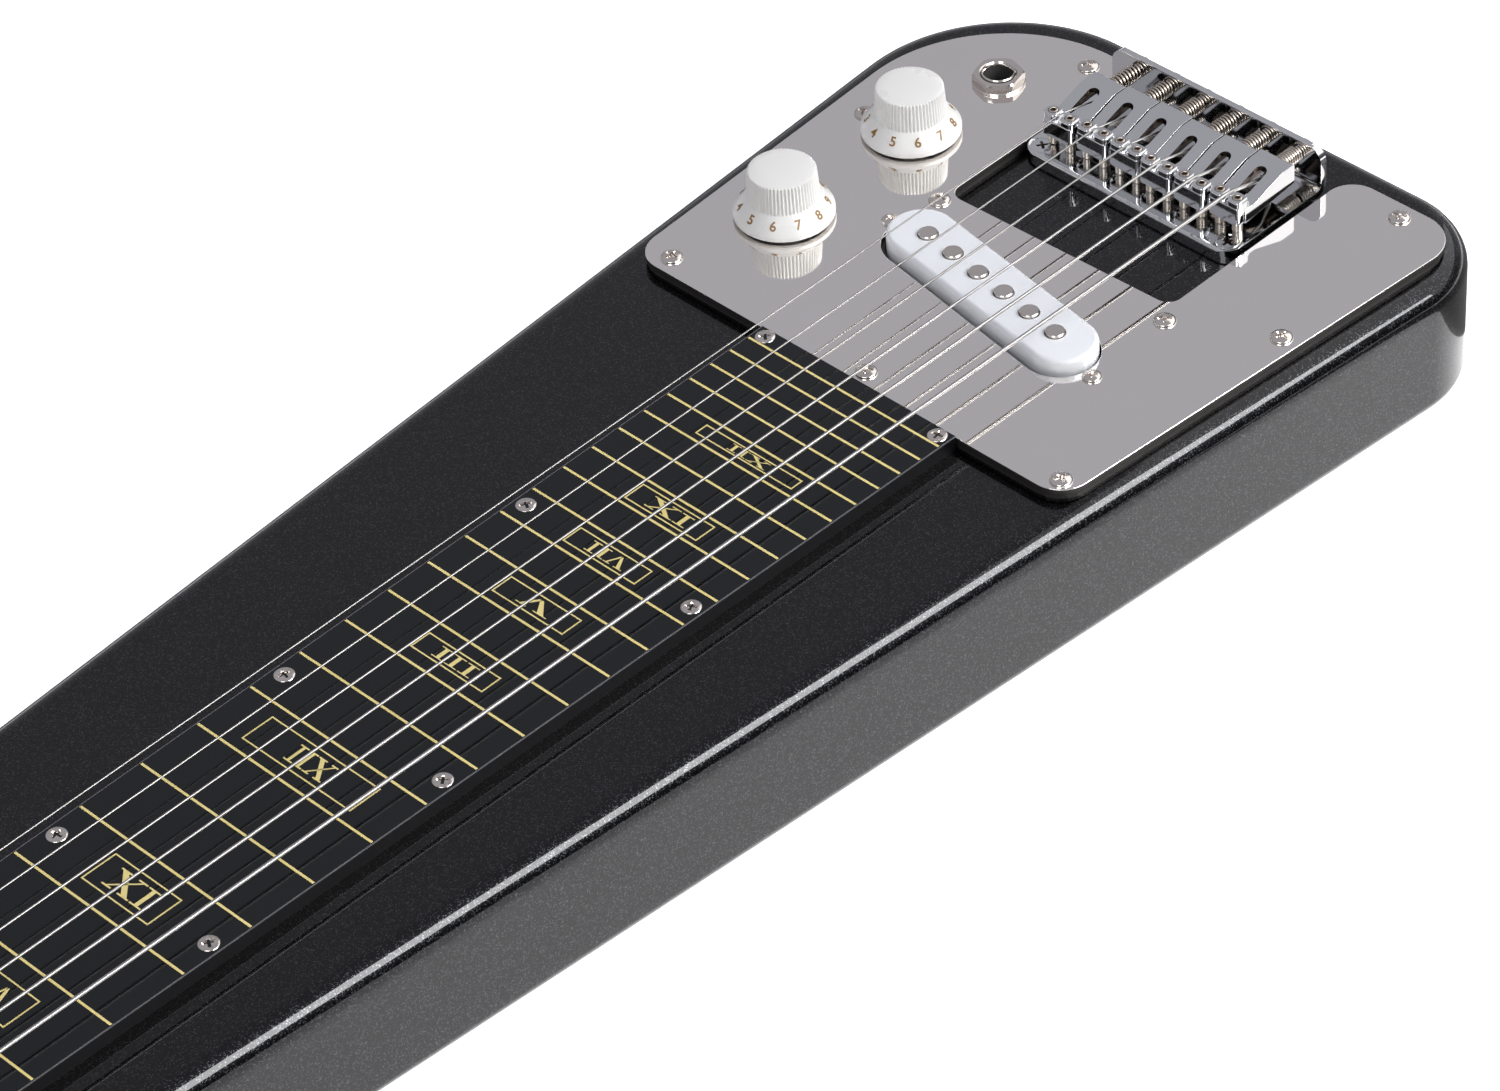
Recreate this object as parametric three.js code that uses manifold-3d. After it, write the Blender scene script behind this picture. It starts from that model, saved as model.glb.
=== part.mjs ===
// Lap steel guitar: a slab body with a printed fretboard, a polished control plate, a single-coil
// pickup, a six-saddle bridge and three tuners on each side of the head.
// Lengths are in millimetres. X runs from the nut towards the bridge, Y from the bass side to the
// treble side, and Z up from the flat back. The finished group stands at the middle of its own box.
import * as THREE from "three";
import { mergeVertices } from "three/addons/utils/BufferGeometryUtils.js";
import Module from "manifold-3d";

const wasm = await Module();
wasm.setup();

// Driving dimensions of the whole instrument
const scale_length = 572;
const crest_past_scale = 1;
const string_count = 6;
const frets_per_octave = 12;
const seat_gap = 0.3;
const overrun = 2;
const hexagon = 6;

// Sides of round pieces, from the finest to those that are hidden
const facets = { knob: 24, large: 20, middle: 12, small: 8, hidden: 8, shank: 6 };

const body = {
  thickness: 40,
  edge_round: 4,
  round_steps: 2,
  bass_at_nut: 38.2,
  bass_at_tail: 86.6,
  treble_at_nut: 56.1,
  treble_at_tail: 102.8,
  tail_past_crest: 49.1,
  bass_corner: 30,
  treble_corner: 48,
  corner_steps: 7,
  sides_behind_nut: 12,
  shoulder_behind_nut: 27,
  shoulder_corner: 9,
};

const head = {
  length: 150,
  bottom: 16,
  thickness: 16,
  half_width: 32,
  tip_half_width: 30,
  corner: 12,
  corner_steps: 3,
  edge_round: 2.5,
  round_steps: 1,
  overlap: 20,
};

const fretboard = {
  thickness: 4.4,
  half_width_at_nut: 27.5,
  half_width_at_end: 33.7,
  treble_shift: 0.8,
  screw_spaces: [1.5, 5.5, 8.5, 12.5, 18.5],
  last_screw_from_end: 2.9,
  screw_inset: 3.6,
};

const plate = {
  thickness: 2,
  backing: 1.4,
  backing_inset: 0.4,
  front_before_crest: 108.4,
  past_lip: 6.9,
  bass_margin_front: 6.2,
  bass_margin_rear: 7.8,
  treble_margin_front: 8.4,
  treble_margin_rear: 10,
  front_corner: 9,
  bass_rear_corner: 12,
  treble_rear_corner: 44,
  corner_steps: 5,
  screw_along_shares: [0.036, 0.028, 0.034, 0.573, 0.946, 0.47, 0.472, 0.569, 0.964],
  screw_across_shares: [0.936, 0.467, 0.034, 0.938, 0.732, 0.685, 0.196, 0.033, 0.106],
};

const cutout = {
  front_before_crest: 35.2,
  front_slant: 1.1,
  bass_side: 38.3,
  treble_side: 36.9,
  front_corner: 4,
  bass_mouth_corner: 8,
  treble_mouth_corner: 3,
};

const screw = {
  head_radius: 3,
  head_height: 1.2,
  shank_radius: 1.5,
  shank_length: 13,
  flat_head_radius: 2.7,
  flat_head_proud: 0.5,
};

const bridge = {
  front_before_crest: 9.1,
  length: 39.1,
  half_width: 36.4,
  treble_shift: 0.1,
  thickness: 2,
  riser: 1.4,
  riser_inset: 0.5,
  front_corner: 5,
  lip_thickness: 2.1,
  lip_height: 15.7,
  lip_corner: 4.5,
  screw_inset: 4.1,
  screw_head_radius: 3.2,
  screw_sink: 1.4,
  screw_radius: 1.7,
  screw_length: 18,
  string_hole_radius: 1.7,
};

const saddle = {
  pitch: 11.18,
  width: 10.85,
  length: 21.8,
  crest_shifts: [-1.7, -0.8, -0.3, -0.9, -0.4, 0.8],
  wall: 1.2,
  top_thickness: 1.3,
  rear_wall: 1.6,
  flat_length: 5.1,
  slope_drop: 3.5,
  front_flat: 6.1,
  front_clearance: 3.2,
  rear_clearance: 5.1,
  slot_width: 3.6,
  slot_length: 10.2,
  slot_end_from_rear: 5.7,
  boss_radius: 2.3,
  boss_spread: 3.05,
  web_below_string: 0.3,
  front_before_crest: 2,
  web_length: 2,
  height_screw_radius: 1.4,
  height_screw_rise: 0.1,
};

const intonation = {
  below_string: 2.8,
  screw_radius: 1.4,
  head_radius: 2.6,
  head_length: 2,
  reach_into_saddle: 3,
};

const spring = {
  mean_radius: 2.1,
  wire_radius: 0.25,
  curls: 6,
  curl_steps: 8,
  wire_sides: 5,
};

const string = {
  height: 9.8,
  half_spread_at_nut: 23.2,
  radii: [0.22, 0.26, 0.31, 0.36, 0.45, 0.54],
  sides: 6,
  wound_turns: 1.5,
  turn_steps: 8,
  turn_gap: 0.5,
  tail_stub: 3,
  dive_length: 13,
  dive_depth: 3.4,
  hole_behind_crest: 17,
  ball_radius: 1.9,
  ball_length: 3,
  body_hole_radius: 1.6,
};

const anchor = {
  length: 66,
  width: 12,
  thickness: 6,
  recess: 1,
  corner: 3,
  shelf: 2,
};

const nut = {
  thickness: 5,
  half_width: 26.6,
  above_string: 1,
  foot_length: 8,
  foot_thickness: 2.5,
  slot_clearance: 0.2,
};

const pickup = {
  before_crest: 60.6,
  treble_shift: -0.6,
  slant_degrees: 9.5,
  pole_pitch: 10.6,
  pole_radius: 2.6,
  pole_rise: 0.8,
  cover_length: 77.4,
  cover_width: 18.8,
  cover_height: 12,
  cover_top_above_plate: 4,
  cover_wall: 1.2,
  cover_round: 2,
  round_steps: 1,
  plate_gap: 0.45,
  base_past_cover: 6.8,
  base_thickness: 1.6,
  bobbin_clearance: 0.7,
  coil_height: 8,
  magnet_past_poles: 0.9,
  magnet_width: 6,
  magnet_height: 3.2,
  screw_from_base_end: 3.6,
  screws_towards_nut: 1.1,
  screws_towards_bass: 0.4,
  screw_head_radius: 2.6,
  screw_length: 14,
  cavity_side: 4,
  cavity_floor: 20,
  end_steps: 5,
};

const control = {
  volume_before_crest: 70.7,
  volume_y: 63.8,
  tone_before_crest: 22.8,
  tone_y: 63.1,
  jack_behind_crest: 8.8,
  jack_y: 60.5,
  cavity_floor: 6,
  cavity_side: 1.5,
  cavity_corner: 6,
  corner_steps: 3,
};

const pot = {
  radius: 11.8,
  height: 10,
  below_backing: 1.5,
  bushing_radius: 4.6,
  bushing_rise: 2,
  nut_radius: 6.8,
  nut_height: 1.7,
  shaft_radius: 3,
  shaft_sink: 5,
  lug_width: 2.4,
  lug_thickness: 0.8,
  lug_length: 5,
  lug_pitch: 5,
};

const knob = {
  gap_under: 1.5,
  rim_radius: 13.6,
  rim_height: 0.9,
  skirt_height: 5.1,
  grip_radius: 9.8,
  top_radius: 9.2,
  height: 13.2,
  top_edge: 0.7,
  crown: 0.5,
  wall: 1.2,
  boss_radius: 5,
  boss_lift: 1.7,
  cap: 2.6,
};

const jack = {
  barrel_radius: 4.7,
  bore_radius: 3.4,
  mouth_radius: 3.9,
  body_radius: 8,
  below_backing: 1.5,
  depth: 31,
  floor: 2,
  washer_radius: 7.3,
  washer_height: 0.7,
  nut_radius: 7.2,
  nut_height: 2.2,
  rim_rise: 0.4,
};

const tuner = {
  first_behind_nut: 48,
  pitch: 36,
  row_y: 22,
  post_radius: 3,
  post_rise: 18,
  hole_below_top: 3.5,
  hole_radius: 0.95,
  gear_radius: 6.3,
  gear_height: 5,
  gear_below_head: 2.6,
  post_tail: 1,
  worm_radius: 2.7,
  worm_half_length: 4.6,
  shaft_radius: 1.4,
  shaft_past_ear: 1,
  strip_thickness: 1.2,
  strip_half_width: 8,
  strip_past_post: 17,
  ear_thickness: 1.6,
  ear_half_width: 3,
  ear_below_shaft: 2.6,
  button_gap: 4,
  button_length: 12,
  button_half_height: 8,
  button_half_thickness: 3.6,
  button_round: 1,
  button_steps: 2,
};

// Places along the instrument
const crest_x = scale_length + crest_past_scale;
const tail_x = crest_x + body.tail_past_crest;
const bridge_front = crest_x - bridge.front_before_crest;
const lip_back = bridge_front + bridge.length;
const lip_front = lip_back - bridge.lip_thickness;
const plate_front = crest_x - plate.front_before_crest;
const plate_rear = lip_back + plate.past_lip;
const pickup_x = crest_x - pickup.before_crest;

// Heights, from the back of the body upwards
const deck = body.thickness;
const backing_top = deck + plate.backing;
const plate_top = backing_top + plate.thickness;
const board_top = deck + fretboard.thickness;
const string_z = board_top + string.height;
const head_top = head.bottom + head.thickness;

// Places of the turned and coupled pieces
const strings = Array.from({ length: string_count }, (_, i) => {
  const middle = (string_count - 1) / 2;
  const side = (middle - i) / middle;
  const half_bridge = saddle.pitch * middle;
  const crest = crest_x + saddle.crest_shifts[i];
  const saddle_front = crest - saddle.front_before_crest;
  const order = i < string_count / 2 ? i : string_count - 1 - i;
  return {
    number: i + 1,
    radius: string.radii[i],
    nut_y: side * string.half_spread_at_nut,
    bridge_y: side * half_bridge,
    crest,
    saddle_front,
    saddle_rear: saddle_front + saddle.length,
    post_x: -tuner.first_behind_nut - order * tuner.pitch,
    post_y: Math.sign(side) * tuner.row_y,
  };
});

// Materials
function material(color, roughness, metalness) {
  return new THREE.MeshStandardMaterial({ color, roughness, metalness });
}
const paint = material(0x242426, 0.25, 0.4);
const gloss_black = material(0x101013, 0.12, 0);
const polished = material(0xa8a4a8, 0.08, 1);
const nickel = material(0xb5aca2, 0.2, 1);
const chrome = material(0xc9cbce, 0.06, 1);
const white_plastic = material(0xf2f3f2, 0.3, 0);
const black_fibre = material(0x1b1a1a, 0.8, 0);
const steel = material(0x8b8884, 0.35, 1);
const string_steel = material(0xd8d2cb, 0.22, 1);

// Solids
function solid(geometry) {
  const bare = geometry.index ? geometry.toNonIndexed() : geometry.clone();
  bare.deleteAttribute("normal");
  bare.deleteAttribute("uv");
  const welded = mergeVertices(bare);
  const faces = new Uint32Array(welded.index.array);
  const build = () =>
    new wasm.Manifold(
      new wasm.Mesh({
        numProp: 3,
        vertProperties: welded.attributes.position.array,
        triVerts: faces,
      }),
    );
  const made = build();
  if (made.volume() > 0) return made;
  for (let i = 0; i < faces.length; i += 3) {
    const second = faces[i + 1];
    faces[i + 1] = faces[i + 2];
    faces[i + 2] = second;
  }
  return build();
}

function joined(parts) {
  return parts.reduce((sum, part) => sum.add(part));
}

function without(part, cuts) {
  return cuts.reduce((rest, cut) => rest.subtract(cut), part);
}

// A block between two corners
function block(x0, x1, y0, y1, z0, z1) {
  const shape = new THREE.BoxGeometry(x1 - x0, y1 - y0, z1 - z0);
  return solid(shape.translate((x0 + x1) / 2, (y0 + y1) / 2, (z0 + z1) / 2));
}

// Upright round bars and cones, from z0 to z1
function post(x, y, z0, z1, radius, sides, top_radius = radius) {
  const shape = new THREE.CylinderGeometry(top_radius, radius, z1 - z0, sides);
  return solid(shape.rotateX(Math.PI / 2).translate(x, y, (z0 + z1) / 2));
}

// Round bars that lie along X or along Y
function bar_x(x0, x1, y, z, radius, sides) {
  const shape = new THREE.CylinderGeometry(radius, radius, x1 - x0, sides);
  return solid(shape.rotateZ(Math.PI / 2).translate((x0 + x1) / 2, y, z));
}

function bar_y(x, y0, y1, z, radius, sides) {
  const [low, high] = [Math.min(y0, y1), Math.max(y0, y1)];
  const shape = new THREE.CylinderGeometry(radius, radius, high - low, sides);
  return solid(shape.translate(x, (low + high) / 2, z));
}

// An outline with rounded corners, from corners of the form { x, y, radius, steps }
function rounded(corners) {
  const points = [];
  corners.forEach((corner, i) => {
    const before = corners[(i + corners.length - 1) % corners.length];
    const after = corners[(i + 1) % corners.length];
    const here = new THREE.Vector2(corner.x, corner.y);
    const back = new THREE.Vector2(before.x, before.y).sub(here).normalize();
    const ahead = new THREE.Vector2(after.x, after.y).sub(here).normalize();
    if (!corner.radius) {
      points.push(here);
      return;
    }
    const half_angle = Math.acos(THREE.MathUtils.clamp(back.dot(ahead), -1, 1)) / 2;
    const reach = corner.radius / Math.tan(half_angle);
    const to_centre = corner.radius / Math.sin(half_angle);
    const centre = back.clone().add(ahead).normalize().multiplyScalar(to_centre).add(here);
    const start = back.multiplyScalar(reach).add(here).sub(centre);
    const end = ahead.multiplyScalar(reach).add(here).sub(centre);
    const first = start.angle();
    let sweep = end.angle() - first;
    if (sweep > Math.PI) sweep -= 2 * Math.PI;
    if (sweep < -Math.PI) sweep += 2 * Math.PI;
    for (let k = 0; k <= corner.steps; k += 1) {
      const angle = first + (sweep * k) / corner.steps;
      const spoke = new THREE.Vector2(Math.cos(angle), Math.sin(angle));
      points.push(spoke.multiplyScalar(corner.radius).add(centre));
    }
  });
  return points;
}

// A slab with an outline, from z0 to z1, and rounded edges where a round is given
function slab(points, z0, z1, round = 0, round_steps = 1) {
  const settings = {
    depth: z1 - z0 - 2 * round,
    bevelEnabled: round > 0,
    bevelThickness: round,
    bevelSize: round,
    bevelOffset: -round,
    bevelSegments: round_steps,
  };
  return new THREE.ExtrudeGeometry(new THREE.Shape(points), settings).translate(0, 0, z0 + round);
}

// A long hole's outline with round ends, centred, lying along Y
function obround(length, width, steps) {
  const radius = width / 2;
  const half = length / 2;
  return rounded([
    { x: radius, y: -half, radius, steps },
    { x: radius, y: half, radius, steps },
    { x: -radius, y: half, radius, steps },
    { x: -radius, y: -half, radius, steps },
  ]);
}

// A profile drawn in X and Z, drawn out along Y to a width
function side_profile(points, y_middle, width) {
  const shape = new THREE.ExtrudeGeometry(
    new THREE.Shape(points.map(([x, z]) => new THREE.Vector2(x, z))),
    { depth: width, bevelEnabled: false },
  );
  return solid(shape.rotateX(Math.PI / 2).translate(0, y_middle + width / 2, 0));
}

// A round piece turned from a profile of [radius, height] about an upright axis
function turned(profile, x, y, z, sides) {
  const points = profile.map(([radius, height]) => new THREE.Vector2(radius, height));
  const shape = new THREE.LatheGeometry(points, sides);
  return solid(shape.rotateX(Math.PI / 2).translate(x, y, z));
}

// A route that a wire follows from point to point, with one section at each point
class Route extends THREE.Curve {
  constructor(points) {
    super();
    this.points = points;
  }

  getPoint(t, target = new THREE.Vector3()) {
    const last = this.points.length - 1;
    const i = Math.min(Math.floor(t * last), last - 1);
    return target.copy(this.points[i]).lerp(this.points[i + 1], t * last - i);
  }

  getPointAt(t, target) {
    return this.getPoint(Math.round(t * (this.points.length - 1)) / (this.points.length - 1), target);
  }

  getTangentAt(t, target = new THREE.Vector3()) {
    const last = this.points.length - 1;
    const i = Math.round(t * last);
    const here = this.points[i];
    target.set(0, 0, 0);
    if (i > 0) target.add(here.clone().sub(this.points[i - 1]).normalize());
    if (i < last) target.add(this.points[i + 1].clone().sub(here).normalize());
    return target.normalize();
  }
}

// A wire of one radius along a list of points
function wire(points, radius, sides) {
  const section = Array.from({ length: sides }, (_, i) => {
    const angle = (2 * Math.PI * i) / sides;
    return new THREE.Vector2(Math.cos(angle) * radius, Math.sin(angle) * radius);
  });
  const settings = { steps: points.length - 1, bevelEnabled: false, extrudePath: new Route(points) };
  return solid(new THREE.ExtrudeGeometry(new THREE.Shape(section), settings));
}

// The least clear distance between stretches of a wire that are more than half a turn apart
function least_gap(points, radius, steps_apart) {
  let least = Infinity;
  for (let i = 0; i < points.length; i += 1) {
    for (let k = i + steps_apart; k < points.length; k += 1) {
      least = Math.min(least, points[i].distanceTo(points[k]));
    }
  }
  return least - 2 * radius;
}

const guitar = new THREE.Group();

function add(name, part, finish) {
  const mesh = part.getMesh();
  const geometry = new THREE.BufferGeometry();
  geometry.setAttribute("position", new THREE.BufferAttribute(mesh.vertProperties, mesh.numProp));
  geometry.setIndex(new THREE.BufferAttribute(mesh.triVerts, 1));
  geometry.computeVertexNormals();
  const piece = new THREE.Mesh(geometry, finish);
  piece.name = name;
  guitar.add(piece);
}

// The body's two long edges at a place along it
function bass_edge(x) {
  const share = x / tail_x;
  return -(body.bass_at_nut + (body.bass_at_tail - body.bass_at_nut) * share);
}

function treble_edge(x) {
  const share = x / tail_x;
  return body.treble_at_nut + (body.treble_at_tail - body.treble_at_nut) * share;
}

// The control plate's two long edges at a place along it
function plate_share(x) {
  return (x - plate_front) / (plate_rear - plate_front);
}

function plate_bass(x) {
  const spread = plate.bass_margin_rear - plate.bass_margin_front;
  return bass_edge(x) + plate.bass_margin_front + spread * plate_share(x);
}

function plate_treble(x) {
  const spread = plate.treble_margin_rear - plate.treble_margin_front;
  return treble_edge(x) - plate.treble_margin_front - spread * plate_share(x);
}

function fret_x(space) {
  return scale_length * (1 - 2 ** (-space / frets_per_octave));
}

// Pickup pieces are drawn about their own middle, then slanted and set in place
const slant = -THREE.MathUtils.degToRad(pickup.slant_degrees);
const pickup_y = pickup.treble_shift;
const base_length = pickup.cover_length + 2 * pickup.base_past_cover;
const bobbin_inset = pickup.cover_wall + pickup.bobbin_clearance;
const bobbin_length = pickup.cover_length - 2 * bobbin_inset;
const bobbin_width = pickup.cover_width - 2 * bobbin_inset;

function slanted(shape) {
  return solid(shape.rotateZ(slant).translate(pickup_x, pickup_y, 0));
}

function along_pickup(distance) {
  return {
    x: pickup_x - Math.sin(slant) * distance,
    y: pickup_y + Math.cos(slant) * distance,
  };
}

const controls = {
  volume: { x: crest_x - control.volume_before_crest, y: control.volume_y },
  tone: { x: crest_x - control.tone_before_crest, y: control.tone_y },
  jack: { x: crest_x + control.jack_behind_crest, y: control.jack_y },
};

// Body
function body_outline() {
  const { bass_corner, treble_corner, corner_steps, shoulder_corner } = body;
  const shoulder = -body.shoulder_behind_nut;
  const soft = { radius: shoulder_corner, steps: control.corner_steps };
  return rounded([
    { x: shoulder, y: -head.half_width - overrun, ...soft },
    { x: -body.sides_behind_nut, y: bass_edge(-body.sides_behind_nut), ...soft },
    { x: tail_x, y: bass_edge(tail_x), radius: bass_corner, steps: corner_steps },
    { x: tail_x, y: treble_edge(tail_x), radius: treble_corner, steps: corner_steps },
    { x: -body.sides_behind_nut, y: treble_edge(-body.sides_behind_nut), ...soft },
    { x: shoulder, y: head.half_width + overrun, ...soft },
  ]);
}

function head_outline() {
  const corner = { radius: head.corner, steps: head.corner_steps };
  const root = -body.shoulder_behind_nut + head.overlap;
  return rounded([
    { x: -head.length, y: -head.tip_half_width, ...corner },
    { x: root, y: -head.half_width },
    { x: root, y: head.half_width },
    { x: -head.length, y: head.tip_half_width, ...corner },
  ]);
}

const string_hole_x = crest_x + string.hole_behind_crest;

function control_cavity() {
  const side = control.cavity_side;
  const reach = pot.radius + side;
  const low = Math.min(controls.volume.y, controls.tone.y, controls.jack.y) - reach;
  const high = Math.max(controls.volume.y, controls.tone.y, controls.jack.y) + reach;
  const front = controls.volume.x - reach;
  const back = controls.jack.x + jack.body_radius + side;
  const corner = { radius: control.cavity_corner, steps: control.corner_steps };
  return rounded([
    { x: front, y: low, ...corner },
    { x: back, y: low, ...corner },
    { x: back, y: high, ...corner },
    { x: front, y: high, ...corner },
  ]);
}

function pickup_cavity() {
  const length = base_length + 2 * pickup.cavity_side;
  const width = pickup.cover_width + 2 * pickup.cavity_side;
  return obround(length, width, pickup.end_steps);
}

const plate_screws = plate.screw_along_shares.map((along, i) => {
  const x = plate_front + along * (plate_rear - plate_front);
  const across = plate.screw_across_shares[i];
  return { x, y: plate_bass(x) + across * (plate_treble(x) - plate_bass(x)) };
});

const board_end = plate_front - seat_gap;

function board_half_width(x) {
  const spread = fretboard.half_width_at_end - fretboard.half_width_at_nut;
  return fretboard.half_width_at_nut + (spread * x) / plate_front;
}

const board_screws = [
  ...fretboard.screw_spaces.map(fret_x),
  board_end - fretboard.last_screw_from_end,
].flatMap((x) => {
  const reach = board_half_width(x) - fretboard.screw_inset;
  return [
    { x, y: fretboard.treble_shift - reach },
    { x, y: fretboard.treble_shift + reach },
  ];
});

const bridge_screw_x = bridge_front + bridge.screw_inset + seat_gap;
const bridge_screws = [-1, 1].map((side) => ({
  x: bridge_screw_x,
  y: bridge.treble_shift + side * (bridge.half_width - bridge.screw_inset),
}));

const pickup_screws = [-1, 1].map((side) => {
  const { x, y } = along_pickup(side * (base_length / 2 - pickup.screw_from_base_end));
  return { x: x - pickup.screws_towards_nut, y: y - pickup.screws_towards_bass };
});

function screw_hole(place, top, length, radius) {
  return post(place.x, place.y, top - length, top + overrun, radius, facets.shank);
}

function build_body() {
  const main = solid(
    slab(body_outline(), 0, deck, body.edge_round, body.round_steps),
  );
  const neck_head = solid(
    slab(head_outline(), head.bottom, head_top, head.edge_round, head.round_steps),
  );
  const recess = block(
    string_hole_x - anchor.width / 2 - seat_gap,
    string_hole_x + anchor.width / 2 + seat_gap,
    -anchor.length / 2 - seat_gap,
    anchor.length / 2 + seat_gap,
    -overrun,
    anchor.recess + anchor.thickness,
  );
  const hole = screw.shank_radius + seat_gap;
  const length = screw.shank_length + seat_gap;
  add(
    "body",
    without(joined([main, neck_head]), [
      solid(slab(control_cavity(), control.cavity_floor, deck + overrun)),
      slanted(slab(pickup_cavity(), pickup.cavity_floor, deck + overrun)),
      recess,
      ...strings.map((s) =>
        post(string_hole_x, s.bridge_y, 0, deck + overrun, string.body_hole_radius, facets.hidden),
      ),
      ...strings.map((s) =>
        post(
          s.post_x,
          s.post_y,
          head.bottom - overrun,
          head_top + overrun,
          tuner.post_radius + seat_gap,
          facets.small,
        ),
      ),
      ...plate_screws.map((p) => screw_hole(p, deck, length - plate.backing - plate.thickness, hole)),
      ...board_screws.map((p) => screw_hole(p, deck, length - fretboard.thickness, hole)),
      ...bridge_screws.map((p) =>
        screw_hole(p, deck, bridge.screw_length, bridge.screw_radius + seat_gap),
      ),
    ]),
    paint,
  );
}

// Screws whose heads stand on a surface at the height given: domed ones, and low flat ones
function pan_screw(place, top, length, head_radius = screw.head_radius) {
  const { head_height, shank_radius } = screw;
  const crown_radius = head_radius - head_height / 2;
  return joined([
    post(place.x, place.y, top, top + head_height, head_radius, facets.small, crown_radius),
    post(place.x, place.y, top - length, top + head_height / 2, shank_radius, facets.shank),
  ]);
}

function flat_screw(place, top, length) {
  const { flat_head_proud, flat_head_radius, shank_radius } = screw;
  return joined([
    post(place.x, place.y, top, top + flat_head_proud, flat_head_radius, facets.small),
    post(place.x, place.y, top - length, top + flat_head_proud / 2, shank_radius, facets.shank),
  ]);
}

function build_fretboard() {
  const y = fretboard.treble_shift;
  const ends = [seat_gap, board_end];
  const outline = [
    new THREE.Vector2(ends[0], y - board_half_width(ends[0])),
    new THREE.Vector2(ends[1], y - board_half_width(ends[1])),
    new THREE.Vector2(ends[1], y + board_half_width(ends[1])),
    new THREE.Vector2(ends[0], y + board_half_width(ends[0])),
  ];
  const board = solid(slab(outline, deck, board_top));
  const screws = board_screws.map((p) => flat_screw(p, board_top, screw.shank_length));
  add("fretboard", joined([board, ...screws]), gloss_black);
}

// Control plate and its backing
function plate_outline(inset) {
  const steps = plate.corner_steps;
  const front = plate_front + inset;
  const rear = plate_rear - inset;
  const mouth = crest_x - cutout.front_before_crest;
  const bass_side = -cutout.bass_side - inset;
  const treble_side = cutout.treble_side + inset;
  return rounded([
    { x: front, y: plate_bass(front) + inset, radius: plate.front_corner, steps },
    { x: rear, y: plate_bass(rear) + inset, radius: plate.bass_rear_corner, steps },
    { x: rear, y: bass_side, radius: cutout.bass_mouth_corner, steps },
    { x: mouth + cutout.front_slant - inset, y: bass_side, radius: cutout.front_corner, steps },
    { x: mouth - cutout.front_slant - inset, y: treble_side, radius: cutout.front_corner, steps },
    { x: rear, y: treble_side, radius: cutout.treble_mouth_corner, steps },
    { x: rear, y: plate_treble(rear) - inset, radius: plate.treble_rear_corner, steps: 2 * steps },
    { x: front, y: plate_treble(front) - inset, radius: plate.front_corner, steps },
  ]);
}

function plate_holes(z0, z1) {
  const length = pickup.cover_length + 2 * pickup.plate_gap;
  const width = pickup.cover_width + 2 * pickup.plate_gap;
  return [
    slanted(slab(obround(length, width, pickup.end_steps), z0, z1)),
    ...pickup_screws.map((p) =>
      post(p.x, p.y, z0, z1, screw.shank_radius + seat_gap, facets.shank),
    ),
    post(controls.volume.x, controls.volume.y, z0, z1, pot.bushing_radius + seat_gap, facets.middle),
    post(controls.tone.x, controls.tone.y, z0, z1, pot.bushing_radius + seat_gap, facets.middle),
    post(controls.jack.x, controls.jack.y, z0, z1, jack.barrel_radius + seat_gap, facets.middle),
  ];
}

function build_plates() {
  const low = deck - overrun;
  const high = plate_top + overrun;
  const inset = plate.backing_inset;
  const backing = solid(slab(plate_outline(inset), deck, backing_top));
  const shanks = plate_screws.map((p) =>
    post(p.x, p.y, low, high, screw.shank_radius + seat_gap, facets.shank),
  );
  add("plate_backing", without(backing, [...plate_holes(low, high), ...shanks]), steel);
  const sheet = solid(slab(plate_outline(0), backing_top, plate_top));
  const screws = plate_screws.map((p) => pan_screw(p, plate_top, screw.shank_length));
  add("control_plate", joined([without(sheet, plate_holes(low, high)), ...screws]), polished);
}

// Nut, with a slot for each string
function build_nut() {
  const top = string_z + nut.above_string;
  const bar = block(-nut.thickness, 0, -nut.half_width, nut.half_width, deck, top);
  const foot = block(
    -nut.thickness - nut.foot_length,
    -nut.thickness / 2,
    -nut.half_width,
    nut.half_width,
    deck,
    deck + nut.foot_thickness,
  );
  const slots = strings.map((s) => {
    const half = s.radius + nut.slot_clearance;
    return block(
      -nut.thickness - overrun,
      overrun,
      s.nut_y - half,
      s.nut_y + half,
      string_z - half,
      top + overrun,
    );
  });
  add("nut", without(joined([bar, foot]), slots), chrome);
}

// Pickup
const cover_top = plate_top + pickup.cover_top_above_plate;
const cover_bottom = cover_top - pickup.cover_height;
const base_bottom = cover_bottom - seat_gap - pickup.base_thickness;
const poles = Array.from({ length: string_count }, (_, i) =>
  along_pickup((i - (string_count - 1) / 2) * pickup.pole_pitch),
);

function pole_holes(z0, z1, hole_facets) {
  const radius = pickup.pole_radius + seat_gap;
  return poles.map((p) => post(p.x, p.y, z0, z1, radius, hole_facets));
}

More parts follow.
